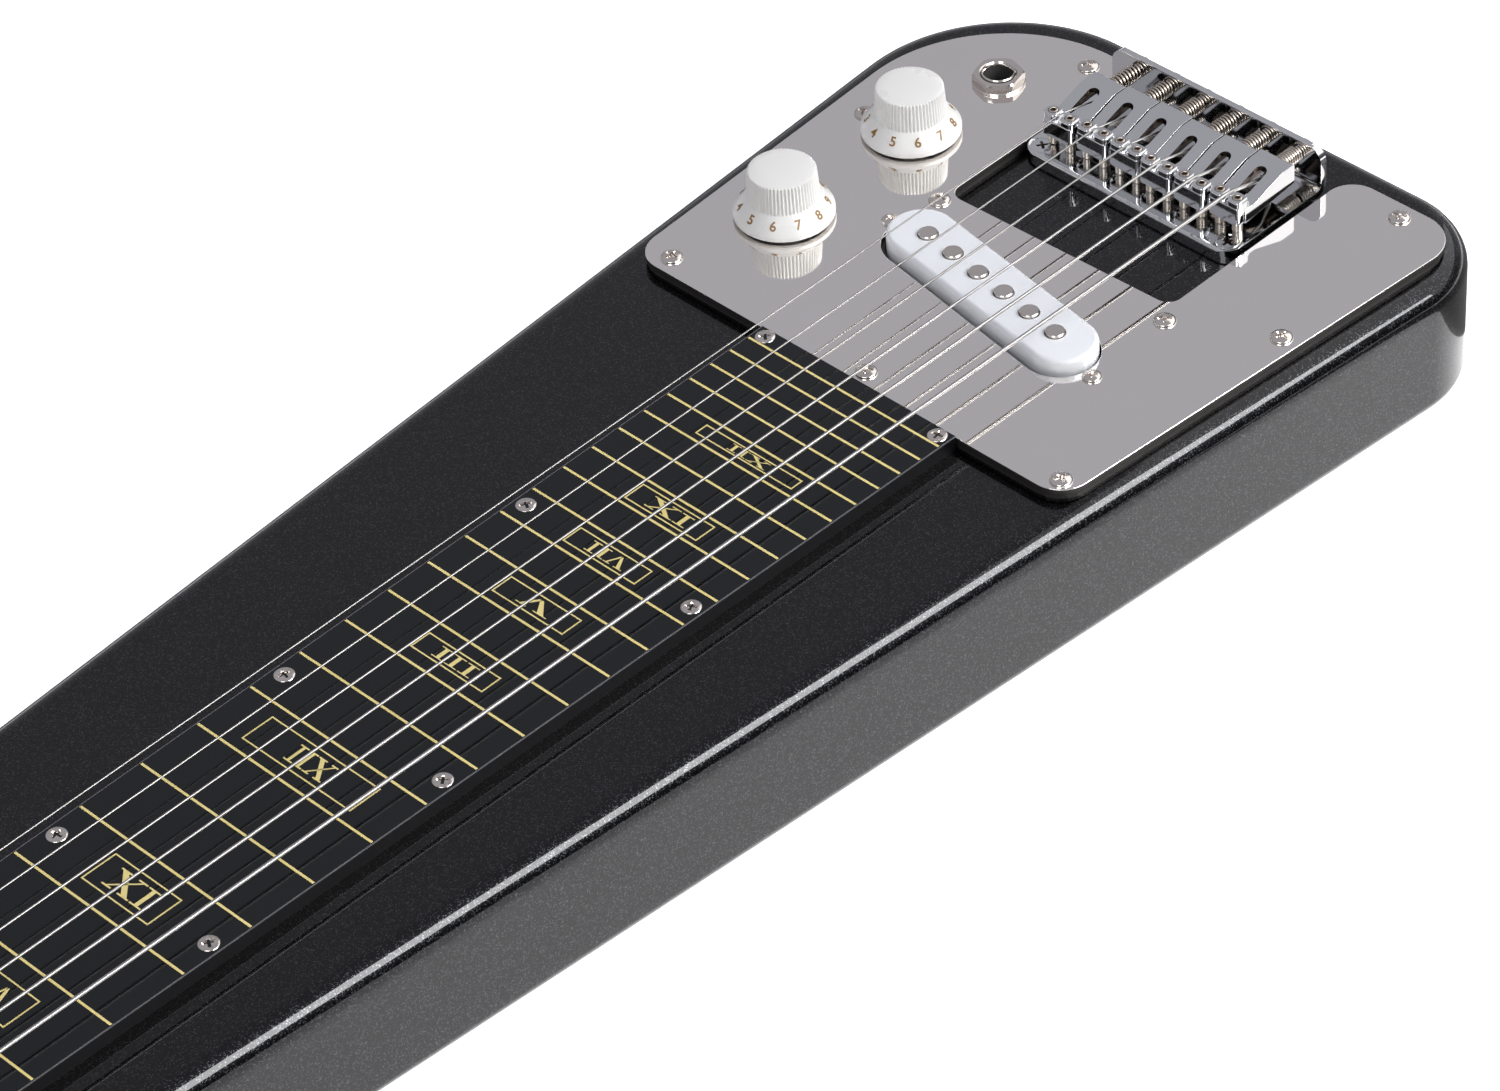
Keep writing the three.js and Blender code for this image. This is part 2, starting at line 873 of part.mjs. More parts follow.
function build_pickup() {
  const { cover_length, cover_width, cover_wall, cover_round, end_steps } = pickup;
  const outer = slanted(
    slab(
      obround(cover_length, cover_width, end_steps),
      cover_bottom - cover_round,
      cover_top,
      cover_round,
      pickup.round_steps,
    ),
  );
  const trimmed = outer.subtract(
    slanted(
      slab(
        obround(cover_length + overrun, cover_width + overrun, end_steps),
        cover_bottom - cover_round - overrun,
        cover_bottom,
      ),
    ),
  );
  const inner = slanted(
    slab(
      obround(cover_length - 2 * cover_wall, cover_width - 2 * cover_wall, end_steps),
      cover_bottom - overrun,
      cover_top - cover_wall,
    ),
  );
  add(
    "pickup_cover",
    without(trimmed, [inner, ...pole_holes(cover_bottom, cover_top + overrun, facets.middle)]),
    white_plastic,
  );

  const base_top = base_bottom + pickup.base_thickness;
  const coil_top = base_top + pickup.coil_height;
  const bobbin = joined([
    slanted(slab(obround(base_length, bobbin_width, end_steps), base_bottom, base_top)),
    slanted(
      slab(
        obround(bobbin_length, bobbin_width, end_steps),
        base_top - pickup.base_thickness / 2,
        coil_top,
      ),
    ),
  ]);
  const ear_holes = pickup_screws.map((p) =>
    post(
      p.x,
      p.y,
      base_bottom - overrun,
      base_top + overrun,
      screw.shank_radius + seat_gap,
      facets.hidden,
    ),
  );
  add(
    "pickup_bobbin",
    without(bobbin, [...pole_holes(base_bottom - overrun, cover_top, facets.small), ...ear_holes]),
    black_fibre,
  );

  const magnet_top = base_bottom - seat_gap;
  const pole_row = (string_count - 1) * pickup.pole_pitch + 2 * pickup.pole_radius;
  const magnet = slanted(
    slab(
      obround(pole_row + 2 * pickup.magnet_past_poles, pickup.magnet_width, end_steps),
      magnet_top - pickup.magnet_height,
      magnet_top,
    ),
  );
  const slugs = poles.map((p) =>
    post(
      p.x,
      p.y,
      magnet_top - pickup.magnet_height / 2,
      cover_top + pickup.pole_rise,
      pickup.pole_radius,
      facets.middle,
    ),
  );
  add("pickup_poles", joined([magnet, ...slugs]), nickel);
  pickup_screws.forEach((p, i) =>
    add(
      `pickup_screw_${i + 1}`,
      pan_screw(p, plate_top, pickup.screw_length, pickup.screw_head_radius),
      nickel,
    ),
  );
}

// Knobs, potentiometers and shafts
const knob_bottom = plate_top + knob.gap_under;

function build_control(name, place) {
  const housing_top = deck - pot.below_backing;
  const bushing_top = plate_top + pot.bushing_rise;
  const bore = pot.shaft_radius + seat_gap;
  const lug_low = housing_top - pot.height / 2;
  const lugs = [-1, 0, 1].map((side) =>
    block(
      place.x + side * pot.lug_pitch - pot.lug_width / 2,
      place.x + side * pot.lug_pitch + pot.lug_width / 2,
      place.y - pot.radius - pot.lug_length / 2,
      place.y,
      lug_low,
      lug_low + pot.lug_thickness,
    ),
  );
  const pot_solid = joined([
    post(place.x, place.y, housing_top - pot.height, housing_top, pot.radius, facets.large),
    post(
      place.x,
      place.y,
      housing_top - pot.height / 2,
      bushing_top,
      pot.bushing_radius,
      facets.middle,
    ),
    post(
      place.x,
      place.y,
      plate_top + seat_gap,
      plate_top + seat_gap + pot.nut_height,
      pot.nut_radius,
      hexagon,
    ),
    ...lugs,
  ]);
  const shaft_low = housing_top - pot.shaft_sink;
  const bore_cut = post(place.x, place.y, shaft_low - seat_gap, bushing_top + overrun, bore, facets.middle);
  add(`${name}_pot`, without(pot_solid, [bore_cut]), steel);

  const shaft_top = knob_bottom + knob.height - knob.cap - seat_gap;
  add(
    `${name}_shaft`,
    post(place.x, place.y, shaft_low, shaft_top, pot.shaft_radius, facets.middle),
    steel,
  );

  const { height, wall, cap, boss_lift } = knob;
  const under_cap = height - cap;
  const profile = [
    [0, height + knob.crown],
    [knob.top_radius - knob.top_edge, height],
    [knob.top_radius, height - knob.top_edge],
    [knob.grip_radius, knob.skirt_height],
    [knob.rim_radius, knob.rim_height],
    [knob.rim_radius, 0],
    [knob.rim_radius - wall, 0],
    [knob.grip_radius - wall, knob.skirt_height - wall],
    [knob.top_radius - wall, under_cap],
    [knob.boss_radius, under_cap],
    [knob.boss_radius, boss_lift],
    [bore, boss_lift],
    [bore, under_cap],
    [0, under_cap],
  ];
  add(`${name}_knob`, turned(profile, place.x, place.y, knob_bottom, facets.knob), white_plastic);
}

// Output jack
function build_jack() {
  const place = controls.jack;
  const nut_low = plate_top + jack.washer_height;
  const nut_top = nut_low + jack.nut_height;
  const barrel_top = nut_top + jack.rim_rise;
  const housing_top = deck - jack.below_backing;
  const floor = barrel_top - jack.depth - jack.floor;
  const mouth_depth = jack.mouth_radius - jack.bore_radius;
  const socket = joined([
    post(place.x, place.y, floor, housing_top, jack.body_radius, facets.middle),
    post(place.x, place.y, floor + jack.floor, barrel_top, jack.barrel_radius, facets.middle),
  ]);
  add(
    "jack_socket",
    without(socket, [
      post(
        place.x,
        place.y,
        barrel_top - jack.depth,
        barrel_top + overrun,
        jack.bore_radius,
        facets.middle,
      ),
      post(
        place.x,
        place.y,
        barrel_top - mouth_depth,
        barrel_top,
        jack.bore_radius,
        facets.middle,
        jack.mouth_radius,
      ),
    ]),
    nickel,
  );
  const ring = joined([
    post(place.x, place.y, plate_top, nut_low, jack.washer_radius, facets.large),
    post(place.x, place.y, nut_low - jack.washer_height / 2, nut_top, jack.nut_radius, hexagon),
  ]);
  const bore = post(
    place.x,
    place.y,
    plate_top - overrun,
    nut_top + overrun,
    jack.barrel_radius + seat_gap,
    facets.middle,
  );
  add("jack_nut", without(ring, [bore]), nickel);
}

// Bridge plate on its riser, and its two screws
const riser_top = deck + bridge.riser;
const bridge_top = riser_top + bridge.thickness;
const intonation_z = string_z - intonation.below_string;

function build_bridge() {
  const bass = bridge.treble_shift - bridge.half_width;
  const treble = bridge.treble_shift + bridge.half_width;
  const layer = (inset, z0, z1) => {
    const corner = { radius: bridge.front_corner - inset, steps: plate.corner_steps };
    const outline = rounded([
      { x: bridge_front + inset, y: bass + inset, ...corner },
      { x: lip_back, y: bass + inset },
      { x: lip_back, y: treble - inset },
      { x: bridge_front + inset, y: treble - inset, ...corner },
    ]);
    return solid(slab(outline, z0, z1));
  };
  const riser = layer(bridge.riser_inset, deck, riser_top);
  const base = layer(0, riser_top, bridge_top);
  const lip_corner = { radius: bridge.lip_corner, steps: plate.corner_steps };
  const lip_top = deck + bridge.lip_height;
  const lip_outline = rounded([
    { x: bass, y: riser_top },
    { x: treble, y: riser_top },
    { x: treble, y: lip_top, ...lip_corner },
    { x: bass, y: lip_top, ...lip_corner },
  ]);
  const lip_shape = new THREE.ExtrudeGeometry(new THREE.Shape(lip_outline), {
    depth: bridge.lip_thickness,
    bevelEnabled: false,
  });
  const lip = solid(lip_shape.rotateX(Math.PI / 2).rotateZ(Math.PI / 2).translate(lip_front, 0, 0));
  const cuts = [
    ...strings.map((s) =>
      post(
        string_hole_x,
        s.bridge_y,
        deck - overrun,
        bridge_top + overrun,
        bridge.string_hole_radius,
        facets.hidden,
      ),
    ),
    ...strings.map((s) =>
      bar_x(
        lip_front - overrun,
        lip_back + overrun,
        s.bridge_y,
        intonation_z,
        intonation.screw_radius + seat_gap,
        facets.hidden,
      ),
    ),
    ...bridge_screws.flatMap((p) => [
      post(
        p.x,
        p.y,
        deck - overrun,
        bridge_top,
        bridge.screw_radius + seat_gap,
        facets.hidden,
      ),
      post(
        p.x,
        p.y,
        bridge_top - bridge.screw_sink,
        bridge_top,
        bridge.screw_radius + seat_gap,
        facets.middle,
        bridge.screw_head_radius + seat_gap,
      ),
    ]),
  ];
  add("bridge_plate", without(joined([riser, base, lip]), cuts), chrome);
  bridge_screws.forEach((p, i) =>
    add(
      `bridge_screw_${i + 1}`,
      joined([
        post(
          p.x,
          p.y,
          bridge_top - bridge.screw_sink,
          bridge_top,
          bridge.screw_radius,
          facets.middle,
          bridge.screw_head_radius,
        ),
        post(
          p.x,
          p.y,
          deck - bridge.screw_length + overrun,
          bridge_top - bridge.screw_sink / 2,
          bridge.screw_radius,
          facets.hidden,
        ),
      ]),
      chrome,
    ),
  );
}

// Saddles, each at its own place along the bridge
const saddle_top = string_z + saddle.web_below_string;

function saddle_profile({ saddle_front, saddle_rear }, inset_top, inset_end) {
  const flat_start = saddle_rear - saddle.flat_length;
  const slope_end = saddle_front + saddle.front_flat;
  const top = saddle_top - inset_top;
  const front_low = bridge_top + saddle.front_clearance;
  const rear_low = bridge_top + saddle.rear_clearance;
  return [
    [saddle_front + inset_end, front_low - inset_top],
    [saddle_rear - inset_end, rear_low - inset_top],
    [saddle_rear - inset_end, top],
    [flat_start, top],
    [slope_end, top - saddle.slope_drop],
    [saddle_front + inset_end, top - saddle.slope_drop],
  ];
}

function build_saddle(s) {
  const { bridge_y: y, crest, saddle_rear } = s;
  const shell = side_profile(saddle_profile(s, 0, 0), y, saddle.width);
  const hollow = side_profile(
    saddle_profile(s, saddle.top_thickness, saddle.rear_wall),
    y,
    saddle.width - 2 * saddle.wall,
  );
  const slot_back = saddle_rear - saddle.slot_end_from_rear;
  const slot = block(
    slot_back - saddle.slot_length,
    slot_back,
    y - saddle.slot_width / 2,
    y + saddle.slot_width / 2,
    bridge_top + saddle.rear_clearance,
    saddle_top + overrun,
  );
  const bore = bar_x(
    saddle_rear - saddle.rear_wall - overrun,
    saddle_rear + overrun,
    y,
    intonation_z,
    intonation.screw_radius + seat_gap,
    facets.hidden,
  );
  const boss_low = bridge_top + saddle.front_clearance;
  const web_top = string_z - s.radius - saddle.web_below_string;
  const web = block(
    crest - saddle.web_length,
    crest,
    y - saddle.boss_spread,
    y + saddle.boss_spread,
    boss_low,
    web_top,
  );
  const notch = block(
    crest - saddle.boss_radius - overrun,
    crest + saddle.boss_radius + overrun,
    y - s.radius - seat_gap,
    y + s.radius + seat_gap,
    web_top,
    saddle_top + overrun,
  );
  const bosses = [-1, 1].map((side) =>
    post(
      crest,
      y + side * saddle.boss_spread,
      boss_low,
      string_z - s.radius / 2,
      saddle.boss_radius,
      facets.small,
    ),
  );
  const height_screws = [-1, 1].map((side) =>
    post(
      crest,
      y + side * saddle.boss_spread,
      bridge_top,
      string_z + saddle.height_screw_rise,
      saddle.height_screw_radius,
      facets.shank,
    ),
  );
  const block_solid = without(joined([without(shell, [hollow, slot, bore]), web, ...bosses]), [notch]);
  add(`saddle_${s.number}`, joined([block_solid, ...height_screws]), chrome);
}

// Intonation screws and their springs
function build_intonation(s) {
  const y = s.bridge_y;
  const tip = s.saddle_rear - saddle.rear_wall - intonation.reach_into_saddle;
  add(
    `intonation_screw_${s.number}`,
    joined([
      bar_x(tip, lip_back + intonation.head_length, y, intonation_z, intonation.screw_radius, facets.hidden),
      bar_x(
        lip_back + seat_gap,
        lip_back + seat_gap + intonation.head_length,
        y,
        intonation_z,
        intonation.head_radius,
        facets.hidden,
      ),
    ]),
    nickel,
  );
  const points = spring_points(s);
  if (s.number === string_count) {
    const gap = least_gap(points, spring.wire_radius, Math.ceil(spring.curl_steps / 2));
    console.log(`intonation spring: least gap to itself ${gap.toFixed(2)} mm`);
  }
  add(`intonation_spring_${s.number}`, wire(points, spring.wire_radius, spring.wire_sides), nickel);
}

function spring_points({ bridge_y: y, saddle_rear }) {
  const start = saddle_rear + seat_gap;
  const end = lip_front - seat_gap;
  const straight = 2 * spring.wire_radius;
  const steps = spring.curls * spring.curl_steps;
  const run = end - start - 2 * straight;
  const on_curl = (i) => {
    const angle = (2 * Math.PI * i) / spring.curl_steps;
    return new THREE.Vector3(
      start + straight + (run * i) / steps,
      y + spring.mean_radius * Math.cos(angle),
      intonation_z + spring.mean_radius * Math.sin(angle),
    );
  };
  const points = Array.from({ length: steps + 1 }, (_, i) => on_curl(i));
  const first = points[0].clone().setX(start);
  const last = points[steps].clone().setX(end);
  return [first, ...points, last];
}

// Strings: through the post, round it, over the nut and the saddle, down through the body
function string_points(s) {
  const inward = -Math.sign(s.post_y);
  const coil_radius = tuner.post_radius + s.radius + seat_gap;
  const hole_z = head_top + tuner.post_rise - tuner.hole_below_top;
  const on_post = (angle, radius, z) =>
    new THREE.Vector3(
      s.post_x + radius * Math.cos(angle),
      s.post_y + radius * Math.sin(angle) * -inward,
      z,
    );
  const steps = string.wound_turns * string.turn_steps;
  const drop = 2 * s.radius + string.turn_gap;
  const start_angle = Math.PI / 2;
  const through = [
    on_post(start_angle, -(tuner.post_radius + string.tail_stub), hole_z),
    on_post(start_angle, tuner.post_radius + s.radius / 2, hole_z),
  ];
  const first_drop = hole_z - drop;
  const wound = Array.from({ length: steps }, (_, i) => {
    const angle = start_angle + (2 * Math.PI * (i + 1)) / string.turn_steps;
    return on_post(angle, coil_radius, first_drop - (drop * i) / string.turn_steps + drop / 2);
  });
  const nut_back = new THREE.Vector3(-nut.thickness, s.nut_y, string_z);
  const nut_front = new THREE.Vector3(0, s.nut_y, string_z);
  const crest = new THREE.Vector3(s.crest, s.bridge_y, string_z);
  const dive = crest.clone().add(new THREE.Vector3(string.dive_length, 0, -string.dive_depth));
  const hole = new THREE.Vector3(string_hole_x, s.bridge_y, bridge_top + overrun);
  const ball_z = anchor.recess + anchor.thickness - anchor.shelf;
  const end = new THREE.Vector3(string_hole_x, s.bridge_y, ball_z - string.ball_length / 2);
  return { route: [...through, ...wound, nut_back, nut_front, crest, dive, hole, end], ball_z };
}

function build_string(s) {
  const { route, ball_z } = string_points(s);
  if (s.number === string_count) {
    const coil = route.slice(2, 2 + string.wound_turns * string.turn_steps);
    const gap = least_gap(coil, s.radius, string.turn_steps / 2);
    console.log(`string on its post: least gap to itself ${gap.toFixed(2)} mm`);
  }
  const ball = post(
    string_hole_x,
    s.bridge_y,
    ball_z - seat_gap - string.ball_length,
    ball_z - seat_gap,
    string.ball_radius,
    facets.hidden,
  );
  add(`string_${s.number}`, joined([wire(route, s.radius, string.sides), ball]), string_steel);
}

function build_anchor() {
  const top = anchor.recess + anchor.thickness;
  const half_length = anchor.length / 2;
  const half_width = anchor.width / 2;
  const corner = { radius: anchor.corner, steps: control.corner_steps };
  const bar = solid(
    slab(
      rounded([
        { x: string_hole_x - half_width, y: -half_length, ...corner },
        { x: string_hole_x + half_width, y: -half_length, ...corner },
        { x: string_hole_x + half_width, y: half_length, ...corner },
        { x: string_hole_x - half_width, y: half_length, ...corner },
      ]),
      anchor.recess,
      top,
    ),
  );
  const cuts = strings.flatMap((s) => [
    post(string_hole_x, s.bridge_y, 0, top - anchor.shelf, string.ball_radius + seat_gap, facets.shank),
    post(string_hole_x, s.bridge_y, 0, top + overrun, s.radius + seat_gap, facets.shank),
  ]);
  add("string_anchor", without(bar, cuts), nickel);
}

// Tuners under the head
const gear_top = head.bottom - tuner.gear_below_head;
const gear_low = gear_top - tuner.gear_height;
const worm_z = (gear_top + gear_low) / 2;
const worm_offset = tuner.gear_radius + tuner.worm_radius + seat_gap;
const ear_reach = tuner.worm_half_length + seat_gap + tuner.ear_thickness;

function build_tuner_strip(name, row) {
  const y = Math.sign(row[0].post_y) * tuner.row_y;
  const xs = row.map((s) => s.post_x);
  const strip = block(
    Math.min(...xs) - tuner.strip_past_post,
    Math.max(...xs) + tuner.strip_past_post - worm_offset,
    y - tuner.strip_half_width,
    y + tuner.strip_half_width,
    head.bottom - tuner.strip_thickness,
    head.bottom,
  );
  const ears = row.flatMap((s) =>
    [-1, 1].map((side) => {
      const outer = y + side * ear_reach;
      const inner = outer - side * tuner.ear_thickness;
      const x = s.post_x - worm_offset;
      return block(
        x - tuner.ear_half_width,
        x + tuner.ear_half_width,
        Math.min(inner, outer),
        Math.max(inner, outer),
        worm_z - tuner.ear_below_shaft,
        head.bottom - tuner.strip_thickness / 2,
      );
    }),
  );
  const cuts = row.flatMap((s) => [
    post(
      s.post_x,
      s.post_y,
      head.bottom - overrun,
      head.bottom + overrun,
      tuner.post_radius + seat_gap,
      facets.small,
    ),
    bar_y(
      s.post_x - worm_offset,
      y - ear_reach - overrun,
      y + ear_reach + overrun,
      worm_z,
      tuner.shaft_radius + seat_gap,
      facets.hidden,
    ),
  ]);
  add(name, without(joined([strip, ...ears]), cuts), nickel);
}

function build_tuner(s) {
  const top = head_top + tuner.post_rise;
  const hole_z = top - tuner.hole_below_top;
  const reach = tuner.post_radius + overrun;
  const stem = joined([
    post(s.post_x, s.post_y, gear_low - tuner.post_tail, top, tuner.post_radius, facets.small),
    post(s.post_x, s.post_y, gear_low, gear_top, tuner.gear_radius, facets.small),
  ]);
  const eye = bar_y(s.post_x, s.post_y - reach, s.post_y + reach, hole_z, tuner.hole_radius, facets.shank);
  add(`tuner_post_${s.number}`, stem.subtract(eye), nickel);

  const side = Math.sign(s.post_y);
  const x = s.post_x - worm_offset;
  const button_start = s.post_y + side * (head.half_width + tuner.button_gap - tuner.row_y);
  const button_end = button_start + side * tuner.button_length;
  const worm_end = tuner.worm_half_length;
  const shaft_start = s.post_y - side * (ear_reach + tuner.shaft_past_ear);
  const button_shape = slab(
    rounded(
      [
        [-1, -1],
        [1, -1],
        [1, 1],
        [-1, 1],
      ].map(([across, up]) => ({
        x: across * tuner.button_half_height,
        y: up * (tuner.button_length / 2),
        radius: tuner.button_length / 2 - tuner.button_round,
        steps: tuner.button_steps,
      })),
    ),
    -tuner.button_half_thickness,
    tuner.button_half_thickness,
    tuner.button_round,
    1,
  );
  const button = solid(
    button_shape.rotateY(Math.PI / 2).translate(x, (button_start + button_end) / 2, worm_z),
  );
  add(
    `tuner_button_${s.number}`,
    joined([
      bar_y(x, s.post_y - worm_end, s.post_y + worm_end, worm_z, tuner.worm_radius, facets.small),
      bar_y(
        x,
        shaft_start,
        (button_start + button_end) / 2,
        worm_z,
        tuner.shaft_radius,
        facets.small,
      ),
      button,
    ]),
    nickel,
  );
}

build_body();
build_fretboard();
build_plates();
build_nut();
build_pickup();
build_control("volume", controls.volume);
build_control("tone", controls.tone);
build_jack();
build_bridge();
strings.forEach(build_saddle);
strings.forEach(build_intonation);
strings.forEach(build_string);
build_anchor();
build_tuner_strip("tuner_strip_treble", strings.slice(0, string_count / 2));
build_tuner_strip("tuner_strip_bass", strings.slice(string_count / 2));
strings.forEach(build_tuner);

// The frame stands on the flat back, at the middle of the whole object's box
const whole = new THREE.Box3().setFromObject(guitar);
const middle = whole.getCenter(new THREE.Vector3());
guitar.position.set(-middle.x, -middle.y, -whole.min.z);

export default guitar;
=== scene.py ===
"""Finished look of a six-string lap steel guitar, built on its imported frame.

Sizes are millimetres in the instrument's own axes: X runs from the front face of the nut towards the
bridge, Y from the bass side to the treble side, and Z up from the flat back. Every mesh is drawn in
these axes and settled once into the frame, in metres.
"""

import logging
import math
from dataclasses import dataclass
from enum import Enum
from typing import Callable, Sequence

import bmesh
import bpy
from mathutils import Euler, Matrix, Vector
from mathutils.geometry import tessellate_polygon


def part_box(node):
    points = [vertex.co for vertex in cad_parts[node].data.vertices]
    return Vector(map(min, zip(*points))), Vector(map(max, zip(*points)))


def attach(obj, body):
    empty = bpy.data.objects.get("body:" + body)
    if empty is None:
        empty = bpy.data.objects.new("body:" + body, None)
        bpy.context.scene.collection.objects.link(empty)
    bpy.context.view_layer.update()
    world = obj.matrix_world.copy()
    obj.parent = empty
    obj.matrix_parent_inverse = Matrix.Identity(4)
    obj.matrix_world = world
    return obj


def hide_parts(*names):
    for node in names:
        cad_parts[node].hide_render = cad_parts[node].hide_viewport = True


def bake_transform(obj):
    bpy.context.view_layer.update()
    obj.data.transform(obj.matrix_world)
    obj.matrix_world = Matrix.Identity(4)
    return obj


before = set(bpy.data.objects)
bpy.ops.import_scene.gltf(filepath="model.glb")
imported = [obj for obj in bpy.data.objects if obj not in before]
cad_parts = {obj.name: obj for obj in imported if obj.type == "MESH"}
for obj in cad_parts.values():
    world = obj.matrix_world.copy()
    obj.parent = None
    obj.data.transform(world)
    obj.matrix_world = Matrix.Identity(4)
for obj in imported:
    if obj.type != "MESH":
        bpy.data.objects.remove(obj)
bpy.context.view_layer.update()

LOG = logging.getLogger("lap_steel")
MM = 0.001
SHARP_DEGREES = 32.0
BEVEL_DEGREES = 40.0

Point2 = tuple[float, float]
Edge = Sequence[Point2]
Row = Sequence[Vector]
Colour = tuple[float, float, float]
Shape = Callable[[float], float]
Object = bpy.types.Object
Mesh = bpy.types.Mesh
Material = bpy.types.Material
Node = bpy.types.Node
Socket = bpy.types.NodeSocket
Vertex = bmesh.types.BMVert


class Carrier(Enum):
    """CAD bodies that do not depend on a string's number."""

    INSTRUMENT = "instrument"
    VOLUME = "volume_control"
    TONE = "tone_control"
    PICKUP = "pickup"


class Side(Enum):
    """The two long sides of the instrument."""

    BASS = -1
    TREBLE = 1


class Slot(Enum):
    """Material slots of the record."""

    PAINT = "body_paint"
    BOARD = "fretboard_black"
    PLATE = "polished_plate"
    BACKING = "backing_steel"
    NICKEL = "nickel"
    CHROME = "bridge_chrome"
    PLASTIC = "white_plastic"
    FIBRE = "coil_fibre"
    STEEL = "control_steel"
    STRING = "string_steel"


@dataclass(frozen=True)
class Layout:
    """Driving sizes that several sub-assemblies share."""

    scale: float = 572.0
    crest_x: float = 573.0
    strings: int = 6
    frets_per_octave: int = 12
    deck: float = 40.0
    plate_bottom: float = 41.4
    plate_top: float = 43.4
    board_top: float = 44.4
    string_z: float = 54.2
    pitch: float = 11.18
    half_spread_at_nut: float = 23.2
    string_radii: tuple[float, ...] = (0.22, 0.26, 0.31, 0.36, 0.45, 0.54)
    crest_shifts: tuple[float, ...] = (-1.7, -0.8, -0.3, -0.9, -0.4, 0.8)
    bass_at_nut: float = 38.2
    bass_at_tail: float = 86.6
    treble_at_nut: float = 56.1
    treble_at_tail: float = 102.8
    tail_x: float = 622.1
    string_hole_x: float = 590.0
    nut_thickness: float = 5.0
    head_low: float = 16.0
    head_high: float = 32.0
    clearance: float = 0.3

    def bass_edge(self, x: float) -> float:
        """Returns Y of the body's bass side at a place along it."""
        return -(self.bass_at_nut + (self.bass_at_tail - self.bass_at_nut) * x / self.tail_x)

    def treble_edge(self, x: float) -> float:
        """Returns Y of the body's treble side at a place along it."""
        return self.treble_at_nut + (self.treble_at_tail - self.treble_at_nut) * x / self.tail_x

    def fret_x(self, number: float) -> float:
        """Returns X of a fret line, from the equal-tempered rule."""
        return self.scale * (1 - 2 ** (-number / self.frets_per_octave))

    def side_share(self, index: int) -> float:
        """Returns a string's place across the set, from 1 on the treble side to -1 on the bass side."""
        middle = (self.strings - 1) / 2
        return (middle - index) / middle

    def bridge_y(self, index: int) -> float:
        """Returns Y of a string at the bridge."""
        return self.side_share(index) * self.pitch * (self.strings - 1) / 2

    def nut_y(self, index: int) -> float:
        """Returns Y of a string at the nut."""
        return self.side_share(index) * self.half_spread_at_nut

    def crest(self, index: int) -> float:
        """Returns X where a string breaks over its saddle."""
        return self.crest_x + self.crest_shifts[index]

    def string_bores(self, radius: float) -> list[list[Vector]]:
        """Returns the outlines of the holes that the strings go down through."""
        return [circle(self.string_hole_x, self.bridge_y(i), radius, 20) for i in range(self.strings)]


LAYOUT = Layout()
NUT_LOW, NUT_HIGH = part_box("nut")
ORIGIN = Vector((NUT_HIGH.x, (NUT_LOW.y + NUT_HIGH.y) / 2, 0.0))
TO_FRAME = Matrix.Translation(ORIGIN) @ Matrix.Scale(MM, 4)
UPRIGHT = Matrix.Identity(4)
ALONG_X = Matrix.Rotation(math.pi / 2, 4, "Y")
ALONG_Y = Matrix.Rotation(-math.pi / 2, 4, "X")
AGAINST_Y = Matrix.Rotation(math.pi / 2, 4, "X")


def shift(x: float, y: float, z: float = 0.0) -> Matrix:
    """Returns the move from the origin to a place."""
    return Matrix.Translation((x, y, z))


def turned_by(angle: float) -> Matrix:
    """Returns a turn about Z."""
    return Matrix.Rotation(angle, 4, "Z")


def linked(name: str, data: bpy.types.ID) -> Object:
    """Returns a new object of the scene."""
    made = bpy.data.objects.new(name, data)
    bpy.context.scene.collection.objects.link(made)
    return made


def discard(spent: Object) -> None:
    """Removes an object and its mesh."""
    mesh = spent.data
    bpy.data.objects.remove(spent)
    bpy.data.meshes.remove(mesh)


# Outlines


@dataclass(frozen=True)
class Corner:
    """One corner of an outline, rounded where it has a radius."""

    x: float
    y: float
    radius: float = 0.0


def rounded(corners: Sequence[Corner], degrees: float = 4.0) -> list[Vector]:
    """Draws an outline with rounded corners.

    Args:
        corners: The corners in order.
        degrees: The largest turn between two points of an arc.

    Returns:
        The outline's points, in the plane.
    """
    points: list[Vector] = []
    count = len(corners)
    for index, corner in enumerate(corners):
        here = Vector((corner.x, corner.y))
        before, after = corners[index - 1], corners[(index + 1) % count]
        back = (Vector((before.x, before.y)) - here).normalized()
        ahead = (Vector((after.x, after.y)) - here).normalized()
        if corner.radius <= 0:
            points.append(here)
            continue
        half = math.acos(max(-1.0, min(1.0, back.dot(ahead)))) / 2
        centre = here + (back + ahead).normalized() * (corner.radius / math.sin(half))
        start = here + back * (corner.radius / math.tan(half)) - centre
        end = here + ahead * (corner.radius / math.tan(half)) - centre
        first = math.atan2(start.y, start.x)
        sweep = (math.atan2(end.y, end.x) - first + math.pi) % (2 * math.pi) - math.pi
        steps = max(2, math.ceil(abs(math.degrees(sweep)) / degrees))
        for k in range(steps + 1):
            angle = first + sweep * k / steps
            points.append(centre + corner.radius * Vector((math.cos(angle), math.sin(angle))))
    return points


def rectangle(low: Point2, high: Point2, radius: float = 0.0) -> list[Vector]:
    """Returns a rectangle's outline between two corners, with one corner radius."""
    return rounded([
        Corner(low[0], low[1], radius),
        Corner(high[0], low[1], radius),
        Corner(high[0], high[1], radius),
        Corner(low[0], high[1], radius),
    ], 12.0 if radius < 2 else 6.0)


def turns(sides: int) -> list[float]:
    """Returns the angles that part a full turn evenly."""
    return [2 * math.pi * k / sides for k in range(sides)]


def polar(radius: float, angle: float, x: float = 0.0, y: float = 0.0) -> Point2:
    """Returns the point at a distance and an angle from a centre."""
    return x + radius * math.cos(angle), y + radius * math.sin(angle)


def circle(x: float, y: float, radius: float, sides: int = 32) -> list[Vector]:
    """Returns a circle's outline."""
    return [Vector(polar(radius, a, x, y)) for a in turns(sides)]


